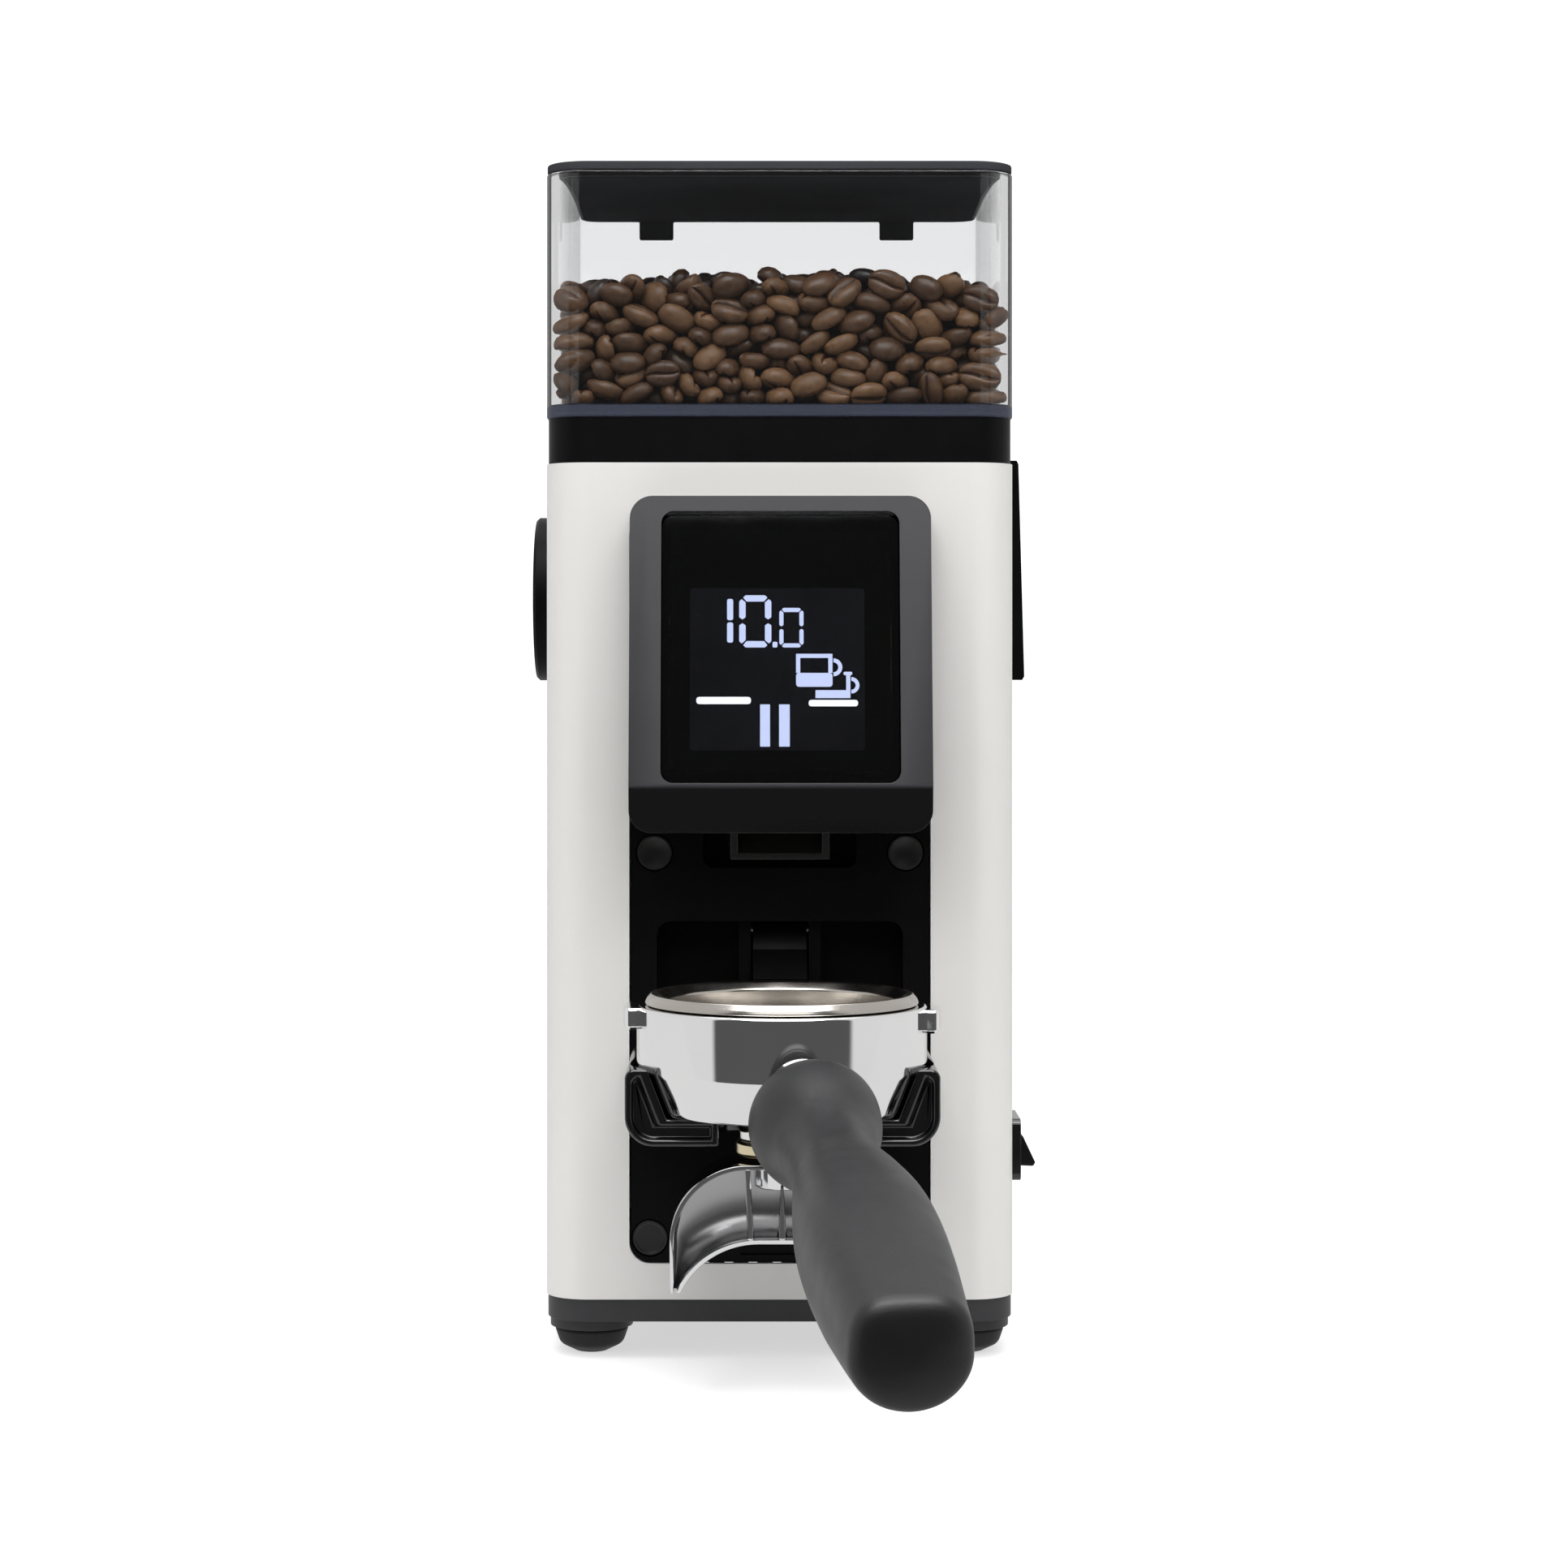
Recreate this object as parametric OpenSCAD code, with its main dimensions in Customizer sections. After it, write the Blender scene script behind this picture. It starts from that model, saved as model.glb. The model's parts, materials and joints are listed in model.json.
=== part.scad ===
// Burr coffee grinder: painted body, clear bean hopper, tilted display and a
// fork that holds an espresso filter holder under the coffee outlet.
// Millimetres, Z up. X = 0 is the middle plane. The origin is the point on the
// table straight below the filter basket, so the dosing axis is X = 0, Y = 0.
// The user stands on the -Y side.

/* [Body] */
// Width of the painted body shell
body_w = 126; // [125:0.5:127]
// Depth of the body shell, front to back
body_d = 156; // [155:0.5:158]
// Height of the shell's top edge above the table
shell_top = 240.3; // [240:0.1:240.6]
// Plan radius of the body's upright corners
corner_r = 11.5; // [10.5:0.5:12.5]
// Sheet thickness of the painted shell
wall = 2; // [1.8:0.1:2.2]
// Distance from the dosing axis to the body's front face
front_y = 42; // [41.5:0.1:42.5]

/* [Hopper] */
// Depth of the clear bean hopper
hopper_d = 104; // [103:0.5:105]
// Height of the hopper's clear walls
hopper_h = 66; // [64:0.5:68]
// Wall thickness of the hopper
hopper_wall = 3; // [2.6:0.1:3.2]
// Height of the beans above the hopper floor
bean_depth = 35; // [20:1:38]

/* [Display] */
// Width of the display housing
display_w = 79.8; // [79:0.1:80]
// How far the display housing reaches out near its lower edge
display_reach = 20; // [19:0.2:21]
// How far the display housing reaches out at its top edge
display_reach_top = 8; // [7.6:0.1:8.4]

/* [Fork and filter holder] */
// Width of the fork over its two arms
fork_w = 79; // [78:0.5:79.4]
// Radius of the filter holder's chrome body
holder_r = 37; // [36.8:0.1:37.1]
// Inner radius of the filter basket
basket_r = 29.5; // [29:0.1:29.6]
// Yaw of the handle away from straight ahead
handle_yaw = 7.3; // [0:0.1:8]
// Droop of the handle below level
handle_droop = 11.5; // [8:0.5:12]

/* [Grinding gear] */
// Outer radius of the flat burrs
burr_r = 29; // [28:0.1:29]
// Distance from the dosing axis back to the motor and burr axis
axis_y = 108; // [107.5:0.1:108.5]
// Radius of the motor can
motor_r = 40; // [38:0.5:40]
// Number of teeth on the adjusting ring's crown gear
crown_teeth = 60; // [60]
// Number of teeth on the dial shaft's pinion
pinion_teeth = 12; // [12]

/* [Hidden] */
$fn = 64;
e = 0.5; // overrun that keeps cuts clean

// heights of the stack, from the table up
foot_h = 7;
boss_z = 10.4;
shell_z = 16.4;
base_floor = 3;
hopper_z = 252.6;
hopper_floor = 3.3;
lid_z = hopper_z + hopper_h;
lid_t = 2.5;
half_w = body_w / 2;
back_y = front_y + body_d;
mid_y = front_y + body_d / 2;
hopper_mid_y = front_y + hopper_d / 2;
foot_x = 51;
foot_inset = 16;

// motor stack
bell_z = 34;
can_z = 46;
can_top = 104;
plate_z = 116;
plate_t = 4;
shaft_r = 5;
bearing_r = 11;
bearing_h = 7;
running = 0.03; // radial clearance of a shaft in its bearing

// grinding chamber stack
chamber_z = 120;
cup_z = 150;
cup_floor = 4;
cup_r = 42;
cup_bore = 34.3;
cup_top = 189.5;
carrier_z = 156;
lower_burr_z = 163;
burr_t = 7;
upper_burr_z = 171;
ring_z = 189.8;
ring_flange_t = 5;
throat_r = 17;

// grind adjuster: pinion on a shaft along X over a crown gear
dial_z = 205;
dial_r = 23.3;
crown_r = 40;
pitch_r = crown_r * pinion_teeth / crown_teeth;

// display face
display_z = 142.1;
display_top = 231;
chin_z = 154.5;
glass_z0 = 155.2;
glass_z1 = 226.9;
glass_w = 63;
tilt = atan((display_reach - display_reach_top) / (display_top - chin_z));

// front panel
panel_w = 80;
panel_z = 26.3;
panel_top = 226;
panel_y = front_y + 1;
panel_t = 3;
recess_w = 66;
recess_z0 = 90;
recess_z1 = 117.5;
recess_back = panel_y + 14.5;
pin_y = 53;
pin_z = 114.5;

// hopper latch
latch_x = 57;
latch_y = 74;
latch_z = 222;

// power switch
switch_y = 67;
switch_z = 54.35;
rocker_x = 58;

// fork and filter holder
fork_z0 = 65.7;
fork_shelf = 72.6;
fork_z1 = 85;
fork_front = -18;
holder_top = 99.7;
rim_top = 102.7;
handle_z = 88.7;

// ---------- shared shapes ----------

// rectangle with round corners, centred
module rounded(w, h, r) {
    square([w - 2 * r, h], center = true);
    square([w, h - 2 * r], center = true);
    for (x = [-1, 1], y = [-1, 1])
        translate([x * (w / 2 - r), y * (h / 2 - r)]) circle(r);
}

// the body's outline seen from above, pulled in by a margin
module plan(inset = 0) {
    translate([0, mid_y])
        rounded(body_w - 2 * inset, body_d - 2 * inset, corner_r - inset);
}

// the hopper's outline seen from above, pulled in by a margin
module hopper_plan(inset = 0) {
    translate([0, hopper_mid_y])
        rounded(body_w - 2 * inset, hopper_d - 2 * inset, corner_r - inset);
}

// an outline in the X-Z plane, extruded from y0 back to y1
module slab(y0, y1) {
    translate([0, y1, 0]) rotate([90, 0, 0]) linear_extrude(y1 - y0) children();
}

// rounded rectangle in the X-Z plane, spanning z0 to z1
module front_outline(w, z0, z1, r) {
    translate([0, (z0 + z1) / 2]) rounded(w, z1 - z0, r);
}

// a side profile given as [y, z] points, extruded over a width centred on X = 0
module side(w, points) {
    translate([-w / 2, 0, 0]) rotate([90, 0, 90]) linear_extrude(w) polygon(points);
}

// box from its low corner to its high corner
module span(low, high) {
    translate(low) cube(high - low);
}

// solid turned about the vertical burr axis
module about_axis() {
    translate([0, axis_y, 0]) children();
}

// ring on the burr axis
module ring(r_out, r_in, z, h) {
    translate([0, 0, z]) difference() {
        cylinder(h = h, r = r_out);
        translate([0, 0, -e]) cylinder(h = h + 2 * e, r = r_in);
    }
}

// cylinder along +X from x0 to x1
module rod_x(r, x0, x1) {
    translate([x0, 0, 0]) rotate([0, 90, 0]) cylinder(h = x1 - x0, r = r);
}

// cylinder along +Y from y0 to y1
module rod_y(r, y0, y1) {
    translate([0, y0, 0]) rotate([-90, 0, 0]) cylinder(h = y1 - y0, r = r);
}

// machine screw, head up, its seat at Z = 0
module screw(r, length, head_r, head_h) {
    translate([0, 0, -length]) cylinder(h = length + head_h / 2, r = r);
    difference() {
        cylinder(h = head_h, r = head_r);
        translate([0, 0, head_h * 0.45]) cylinder(h = head_h, r = head_r * 0.5, $fn = 6);
    }
}

// ---------- body ----------

// places of the vertical screws: low ones beside the walls, top ones in the corners
base_screw_y = [84, 160];
base_screw_x = 56;
top_screw_x = half_w - 9;
top_screw_y = [front_y + 9, back_y - 9];
rear_screw_x = 44.5;
rear_screw_z = [50, 200];
gland_x = -38;
gland_z = 33;

module shell_bosses() {
    for (x = [-1, 1]) {
        for (y = base_screw_y)
            translate([x * base_screw_x, y, shell_z]) cylinder(h = 13.6, r = 6);
        for (y = top_screw_y)
            translate([x * top_screw_x, y, shell_top - 14]) cylinder(h = 14, r = 6.5);
        // ledge that carries the motor plate
        span([x > 0 ? half_w - 11 : -half_w + wall / 2, 74, plate_z - 8],
             [x > 0 ? half_w - wall / 2 : -half_w + 11, 146, plate_z]);
    }
    // bushing for the dial shaft
    translate([0, axis_y, dial_z]) rod_x(8, -half_w + wall / 2, -half_w + 15);
}

module housing_shell() {
    color("whitesmoke") difference() {
        union() {
            difference() {
                translate([0, 0, shell_z]) linear_extrude(shell_top - shell_z) plan();
                translate([0, 0, shell_z - e])
                    linear_extrude(shell_top - shell_z + 2 * e) plan(wall);
            }
            shell_bosses();
        }
        // front window behind the panel and the display
        slab(front_y - e, front_y + 4)
            front_outline(panel_w + 0.6, panel_z - 0.3, panel_top + 0.3, 5.7);
        // rear window behind the vented panel
        slab(back_y - 4, back_y + e) front_outline(84, 55, 195, 4);
        // cord gland, dial shaft, power switch and hopper latch
        translate([gland_x, 0, gland_z]) rod_y(7, back_y - 4, back_y + e);
        translate([0, axis_y, dial_z]) rod_x(4.05, -half_w - e, -half_w + 16);
        span([half_w - 4, switch_y - 9.2, switch_z - 7.2],
             [half_w + e, switch_y + 9.2, switch_z + 7.2]);
        span([half_w - 4, latch_y - 12.5, 181.3], [half_w + e, latch_y + 12.5, 238]);
        for (x = [-1, 1]) {
            for (y = base_screw_y)
                translate([x * base_screw_x, y, shell_z - e]) cylinder(h = 12, r = 2);
            for (y = top_screw_y)
                translate([x * top_screw_x, y, shell_top - 11]) cylinder(h = 12, r = 2);
            for (z = rear_screw_z)
                translate([x * rear_screw_x, 0, z]) rod_y(1.5, back_y - 4, back_y + e);
        }
    }
}

module base_plate() {
    color("dimgray") difference() {
        union() {
            difference() {
                translate([0, 0, boss_z]) linear_extrude(shell_z - boss_z) plan(0.4);
                translate([0, 0, boss_z + base_floor])
                    linear_extrude(shell_z - boss_z) plan(3.4);
            }
            for (x = [-1, 1]) {
                for (y = [front_y + foot_inset, back_y - foot_inset])
                    translate([x * foot_x, y, foot_h]) cylinder(h = 5, r = 11.2);
                for (y = base_screw_y)
                    translate([x * base_screw_x, y, boss_z + 1]) intersection() {
                        cylinder(h = 5, r = 6);
                        translate([-10 - x * 4.2, -10, 0]) cube([20, 20, 6]);
                    }
            }
        }
        for (x = [-1, 1]) {
            for (y = [front_y + foot_inset, back_y - foot_inset])
                translate([x * foot_x, y, foot_h - e]) cylinder(h = 8, r = 3);
            for (y = base_screw_y)
                translate([x * base_screw_x, y, boss_z - e]) {
                    cylinder(h = 8, r = 2.1);
                    cylinder(h = 2.5, r = 4);
                }
        }
        // cooling slots below the fan
        for (i = [-5:5])
            translate([i * 7, axis_y, boss_z + 1])
                cube([2.6, 2 * sqrt(42 * 42 - i * i * 49), 6], center = true);
    }
}

module rubber_foot() {
    intersection() {
        union() {
            translate([0, 0, 10]) sphere(r = 10.77);
            translate([0, 0, foot_h - 2]) cylinder(h = 2, r = 10);
        }
        cylinder(h = foot_h, r = 10);
    }
    translate([0, 0, foot_h - 1]) cylinder(h = 5.8, r = 3);
}

module rubber_feet() {
    color("#2b2b2b")
        for (x = [-1, 1], y = [front_y + foot_inset, back_y - foot_inset])
            translate([x * foot_x, y, 0]) rubber_foot();
}

module shell_screws() {
    color("silver") {
        for (x = [-1, 1]) {
            for (y = base_screw_y)
                translate([x * base_screw_x, y, boss_z + 2]) mirror([0, 0, 1])
                    screw(1.95, 14, 3.6, 1.8);
            for (y = top_screw_y)
                translate([x * top_screw_x, y, hopper_z - 2.4]) screw(1.95, 19, 3.6, 1.9);
            for (z = rear_screw_z)
                translate([x * rear_screw_x, back_y + 1.5, z]) rotate([-90, 0, 0])
                    screw(1.45, 6, 2.8, 1.4);
        }
    }
}

gate_z = 244.2;
gate_t = 2;
gate_half = 23.7;
gate_slot_y = [147, back_y - 5.6];
lug_x = [47, 51.5];

module top_collar() {
    color("#1c1c1e") difference() {
        union() {
            difference() {
                translate([0, 0, shell_top]) linear_extrude(hopper_z - shell_top) plan(0.5);
                translate([0, 0, shell_top - e])
                    linear_extrude(hopper_z - shell_top - 2.5 + e) plan(3);
            }
            for (x = [-1, 1], y = top_screw_y)
                translate([x * top_screw_x, y, shell_top]) cylinder(h = 11, r = 6.5);
            // socket for the hopper's neck
            about_axis() translate([0, 0, gate_z + gate_t + 0.2])
                cylinder(h = hopper_z - gate_z - gate_t - 0.2, r = 24.5);
            // guide rails beside the gate
            for (x = [-1, 1])
                span([x > 0 ? 24 : -27, 80, gate_z - 0.2],
                     [x > 0 ? 27 : -24, back_y - 4, hopper_z - 1]);
        }
        about_axis() cylinder(h = hopper_z + e, r = 21.3);
        span([-7, gate_slot_y[0] - 0.5, shell_top], [7, gate_slot_y[1], hopper_z + e]);
        span([lug_x[0] - 0.8, latch_y - 5.5, shell_top],
             [lug_x[1] + 0.8, latch_y + 5.5, hopper_z + e]);
        for (x = [-1, 1], y = top_screw_y)
            translate([x * top_screw_x, y, 0]) {
                cylinder(h = hopper_z, r = 2.1);
                translate([0, 0, hopper_z - 2.4]) cylinder(h = 3, r = 4);
            }
    }
}

module rear_panel() {
    color("#1c1c1e") difference() {
        union() {
            slab(back_y, back_y + 1.5) front_outline(98, 44, 206, 5);
            // posts that carry the power board
            for (x = [-34, 34], z = [66, 146])
                translate([x, 0, z]) rod_y(3, 177.6, back_y + 1);
        }
        for (i = [0:13])
            translate([0, back_y, 78 + i * 8]) cube([56, 12, 2.8], center = true);
        for (x = [-1, 1], z = rear_screw_z)
            translate([x * rear_screw_x, 0, z]) rod_y(1.6, back_y - e, back_y + 2);
    }
}

module cord_gland() {
    color("#2b2b2b") translate([gland_x, 0, gland_z]) difference() {
        union() {
            rod_y(10, back_y, back_y + 2.5);
            rod_y(6.9, back_y - 12, back_y + 1);
            rod_y(9, back_y - 8, back_y - wall);
        }
        rod_y(3.75, back_y - 13, back_y + 3);
    }
}

// ---------- front ----------

cap_r = 4.65;
cap_places = [[-33.6, 135.9], [33.6, 135.9], [-34.8, 32.7], [34.8, 32.7]];
outlet_w = 41.2;
outlet_z = 131.8;
fork_screw_x = 24;
fork_screw_z = 76;

module front_panel() {
    color("#1c1c1e") difference() {
        union() {
            slab(panel_y, panel_y + panel_t)
                front_outline(panel_w, panel_z, panel_top, 5.4);
            // box behind the paddle recess
            slab(panel_y + 1, recess_back + 2)
                front_outline(recess_w + 4, recess_z0 - 2, recess_z1 + 2, 5.5);
            // box behind the outlet recess
            slab(panel_y + 1, panel_y + 9)
                front_outline(outlet_w + 4, outlet_z - 2, 155, 4);
        }
        difference() {
            slab(panel_y - e, recess_back)
                front_outline(recess_w, recess_z0, recess_z1, 4);
            // ribs that carry the paddle's pin
            for (x = [-1, 1])
                span([x > 0 ? 7.8 : -11, panel_y + 4, recess_z0 - 1],
                     [x > 0 ? 11 : -7.8, recess_back + 1, recess_z1 + 1]);
        }
        translate([0, pin_y, pin_z]) rod_x(1, -11.5, 11.5);
        translate([0, 0, button_z]) rod_y(2.1, recess_back - e, recess_back + 3);
        // outlet recess and the way through for the spout
        slab(panel_y - e, panel_y + 7) front_outline(outlet_w, outlet_z, 153, 2.8);
        span([-13.6, panel_y, outlet_z + 3], [13.6, panel_y + 10, 152.9]);
        // opening for the display's wiring
        slab(panel_y - e, panel_y + 4) front_outline(60, 157, 215, 3);
        // counterbores of the four caps
        for (p = cap_places)
            translate([p[0], 0, p[1]]) rod_y(cap_r + 0.45, panel_y - e, panel_y + 1.8);
        for (x = [-1, 1])
            translate([x * fork_screw_x, 0, fork_screw_z]) rod_y(1.6, panel_y - e, panel_y + 4);
        // shallow grip at the lower edge
        slab(panel_y - e, panel_y + 0.9)
            polygon([[-10.6, 28.2], [10.6, 28.2], [9.4, 31.3], [-9.4, 31.3]]);
    }
}

module panel_caps() {
    color("#303032") for (i = [0:3])
        translate([cap_places[i][0], 0, cap_places[i][1]]) difference() {
            rod_y(cap_r, panel_y + 0.1, panel_y + 1.8);
            // the upper two are dished
            if (i < 2) translate([0, panel_y - 8.4, 0]) sphere(r = 9.3);
        }
}

// display housing profile as [y, z], shrunk inwards by a margin
function display_profile(m, back) = [
    [back, display_top - m],
    [front_y - display_reach_top + m, display_top - m],
    [front_y - display_reach + 1.05 * m, chin_z + 0.25 * m],
    [front_y - 18 + 0.95 * m, display_z + m],
    [back, display_z + m]
];

module display_housing() {
    color("#3a3d42") difference() {
        intersection() {
            side(display_w + 2, display_profile(0, front_y));
            slab(0, 60) front_outline(display_w, display_z, display_top, 6);
        }
        intersection() {
            side(display_w, display_profile(2.2, front_y + 1));
            slab(0, 60) front_outline(display_w - 4.4, display_z + 2, display_top - 2, 4);
        }
        slab(0, 45) front_outline(glass_w, glass_z0, glass_z1, 3.3);
    }
}

// places children on the tilted display face: local -Y is the outward normal
module on_face() {
    translate([0, front_y - display_reach, chin_z]) rotate([-tilt, 0, 0])
        translate([0, 0, -chin_z]) children();
}

module display_glass() {
    color("#101216") on_face() slab(1.3, 3.1)
        front_outline(glass_w - 0.6, glass_z0 + 0.5, glass_z1 - 0.1, 3);
}

module lcd_module() {
    color("#202830") on_face() {
        slab(3.2, 6.4) front_outline(58, 159, 223, 1.5);
        slab(6.4, 7) front_outline(50, 164, 218, 1);
    }
}

module control_board() {
    color("darkgreen") {
        span([-28, 43.2, 158], [28, 44.8, 213]);
        span([-8, 44.8, 186], [8, 46.4, 202]);
        span([12, 44.8, 164], [24, 51, 170]);
        span([-24, 44.8, 164], [-6, 50, 169]);
        translate([18, 0, 196]) rod_y(4, 44.8, 54);
        translate([-18, 0, 180]) rod_y(3, 44.8, 50);
    }
}

// ---------- coffee path ----------

function path_floor(y) = 135 + (y - panel_y) * 0.944;
function path_roof(y) = 143.5 + (y - panel_y) * 1.055;
spout_back = panel_y + 9;

function duct(y0, y1, m) = [
    [y0, path_floor(y0) - m], [y1, path_floor(y1) - m],
    [y1, path_roof(y1) + m], [y0, path_roof(y0) + m]
];

module outlet_spout() {
    color("#2a2420") difference() {
        intersection() {
            side(26.6, duct(panel_y + 0.6, spout_back, 1.6));
            span([-20, 0, 100], [20, 100, 152.6]);
        }
        side(22.6, duct(panel_y - e, spout_back + e, 0));
    }
}

module chute() {
    color("#222222") difference() {
        union() {
            side(30, duct(spout_back, 74, 2));
            side(36, duct(62, 74, 4));
        }
        side(24, duct(spout_back - e, 75, 0));
        about_axis() cylinder(h = 200, r = cup_r);
    }
}

module grinding_chamber() {
    color("silver") about_axis() difference() {
        union() {
            translate([0, 0, chamber_z]) cylinder(h = 4, r = 34);
            translate([0, 0, chamber_z]) cylinder(h = cup_z - chamber_z + 1, r = 18);
            translate([0, 0, cup_z]) cylinder(h = cup_top - cup_z, r = cup_r);
            for (a = [0:5]) rotate(a * 60 + 30) translate([10, -1.5, chamber_z])
                cube([22, 3, cup_z - chamber_z + 1]);
        }
        translate([0, 0, chamber_z - e]) cylinder(h = 40, r = 7);
        translate([0, 0, 140]) cylinder(h = 20, r = bearing_r);
        translate([0, 0, cup_z + cup_floor]) cylinder(h = 60, r = cup_bore);
        for (a = [0:3]) rotate(a * 90 + 45) translate([29, 0, chamber_z - e])
            cylinder(h = 6, r = 2.1);
        // port to the chute
        intersection() {
            translate([0, -axis_y, 0]) side(24, duct(60, 80, 0));
            translate([-12, -cup_r - 1, cup_z + cup_floor]) cube([24, 20, 20]);
        }
    }
}

module feed_throat() {
    color("#26262a") about_axis() difference() {
        union() {
            translate([0, 0, 206]) cylinder(h = 35, r = 19.5);
            translate([0, 0, 241]) cylinder(h = 2.9, r = 23.4);
            span([-half_w + wall + 0.1, -10, 237.5], [half_w - wall - 0.1, 10, 240.2]);
        }
        translate([0, 0, 205]) cylinder(h = 45, r = throat_r);
    }
}

// ---------- motor ----------

module chassis_screws() {
    color("silver") about_axis() for (a = [0:3]) rotate(a * 90 + 45)
        translate([29, 0, chamber_z + 4]) screw(2, 12, 3.6, 3);
}

module motor_plate() {
    color("lightgray") difference() {
        span([-half_w + wall + 0.2, 75, plate_z], [half_w - wall - 0.2, 146, plate_z + plate_t]);
        about_axis() {
            translate([0, 0, plate_z - e]) cylinder(h = 6, r = 12);
            for (a = [0:3]) rotate(a * 90 + 45) translate([29, 0, plate_z - e])
                cylinder(h = 6, r = 2.1);
        }
    }
}

module motor_can() {
    color("darkgray") about_axis() ring(motor_r, motor_r - 2.8, can_z, can_top - can_z);
}

module motor_windings() {
    color("peru") about_axis() difference() {
        ring(motor_r - 3.1, 26, can_z + 4, can_top - can_z - 8);
        for (a = [0:11]) rotate(a * 30) translate([24, -1.6, can_z])
            cube([9, 3.2, can_top - can_z]);
    }
}

module end_bell() {
    difference() {
        union() {
            cylinder(h = 4, r = motor_r);
            ring(motor_r, motor_r - 3.4, 0, 12);
            cylinder(h = 12, r = 15);
        }
        translate([0, 0, 4]) cylinder(h = 10, r = bearing_r);
        translate([0, 0, -e]) cylinder(h = 6, r = 7);
        for (a = [0:5]) rotate(a * 60 + 15) translate([24, -5, -e]) cube([7, 10, 5]);
    }
}

module lower_end_bell() {
    color("silver") about_axis() translate([0, 0, bell_z]) end_bell();
}

module upper_end_bell() {
    color("silver") about_axis() difference() {
        translate([0, 0, plate_z]) mirror([0, 0, 1]) end_bell();
        for (a = [0:3]) rotate(a * 90 + 45) translate([29, 0, plate_z - 6])
            cylinder(h = 7, r = 2.1);
    }
}

module bearings() {
    color("gainsboro") about_axis() for (z = [bell_z + 4, 105, 140])
        ring(bearing_r, shaft_r + running, z, bearing_h);
}

module motor_shaft() {
    color("lightsteelblue") about_axis() translate([0, 0, 21]) cylinder(h = 155, r = shaft_r);
}

module rotor() {
    color("saddlebrown") about_axis() difference() {
        ring(25, shaft_r, can_z + 8, can_top - can_z - 16);
        for (a = [0:9]) rotate(a * 36) translate([21, -1, can_z])
            cube([6, 2, can_top - can_z]);
    }
}

module cooling_fan() {
    color("#303030") about_axis() difference() {
        union() {
            translate([0, 0, 22]) cylinder(h = 9, r = 9);
            translate([0, 0, 22]) cylinder(h = 1.4, r = 34);
            for (a = [0:8]) rotate(a * 40) translate([8, -0.8, 22]) cube([25, 1.6, 9]);
        }
        translate([0, 0, 21]) cylinder(h = 12, r = shaft_r);
    }
}

// ---------- burrs ----------

module burr_carrier() {
    color("silver") about_axis() difference() {
        union() {
            translate([0, 0, carrier_z]) cylinder(h = lower_burr_z - carrier_z, r = burr_r + 2);
            translate([0, 0, 148]) cylinder(h = 10, r = 10);
            for (a = [0:2]) rotate(a * 120) translate([burr_r, -2, carrier_z - 1])
                cube([4.6, 4, 6]);
        }
        translate([0, 0, 147]) cylinder(h = 20, r = shaft_r);
        for (a = [0:2]) rotate(a * 120 + 60) translate([22, 0, carrier_z])
            cylinder(h = 9, r = 1.6);
    }
}

// flat burr with slanted cutting grooves on its upper face
module burr(bore) {
    difference() {
        ring(burr_r, bore, 0, burr_t);
        for (a = [0:23]) rotate(a * 15)
            translate([bore - 1, 2, burr_t - 1.2]) rotate([0, 0, 16]) cube([18, 1.6, 3]);
        for (a = [0:2]) rotate(a * 120 + 60) translate([22, 0, -e]) {
            cylinder(h = 9, r = 1.7);
            translate([0, 0, 4]) cylinder(h = 9, r = 3);
        }
    }
}

module burr_screws() {
    for (a = [0:2]) rotate(a * 120 + 60) translate([22, 0, 3.5]) screw(1.55, 8, 2.7, 1.8);
}

module lower_burr() {
    color("slategray") about_axis() translate([0, 0, lower_burr_z]) burr(14);
}

module upper_burr() {
    color("slategray") about_axis() translate([0, 0, upper_burr_z + burr_t])
        mirror([0, 0, 1]) burr(throat_r);
}

module lower_burr_screws() {
    color("gray") about_axis() translate([0, 0, lower_burr_z]) burr_screws();
}

module upper_burr_screws() {
    color("gray") about_axis() translate([0, 0, upper_burr_z + burr_t])
        mirror([0, 0, 1]) burr_screws();
}

module feed_screw() {
    color("silver") about_axis() difference() {
        union() {
            translate([0, 0, lower_burr_z]) cylinder(h = 12, r1 = 12, r2 = 8);
            translate([0, 0, lower_burr_z + 12]) cylinder(h = 8, r1 = 8, r2 = 4);
            for (a = [0:2]) rotate(a * 120) translate([0, -1.2, lower_burr_z + 9])
                cube([13, 2.4, 7]);
        }
        translate([0, 0, lower_burr_z - e]) cylinder(h = 13.5, r = shaft_r);
    }
}

module adjusting_ring() {
    color("tan") about_axis() difference() {
        union() {
            translate([0, 0, upper_burr_z]) cylinder(h = ring_z - upper_burr_z + 1, r = 34);
            translate([0, 0, ring_z]) cylinder(h = ring_flange_t, r = cup_r);
            translate([0, 0, ring_z]) cylinder(h = 15.7, r = 24);
            // crown gear
            for (a = [0:crown_teeth - 1]) rotate(a * 360 / crown_teeth)
                translate([38, -0.6, ring_z + ring_flange_t - 0.2])
                    cube([3.9, 1.2, 2.4]);
        }
        translate([0, 0, upper_burr_z - e]) cylinder(h = 60, r = throat_r);
        translate([0, 0, upper_burr_z - e]) cylinder(h = burr_t + e, r = burr_r);
        for (a = [0:2]) rotate(a * 120 + 60) translate([22, 0, upper_burr_z])
            cylinder(h = 12.5, r = 1.6);
    }
}

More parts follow.
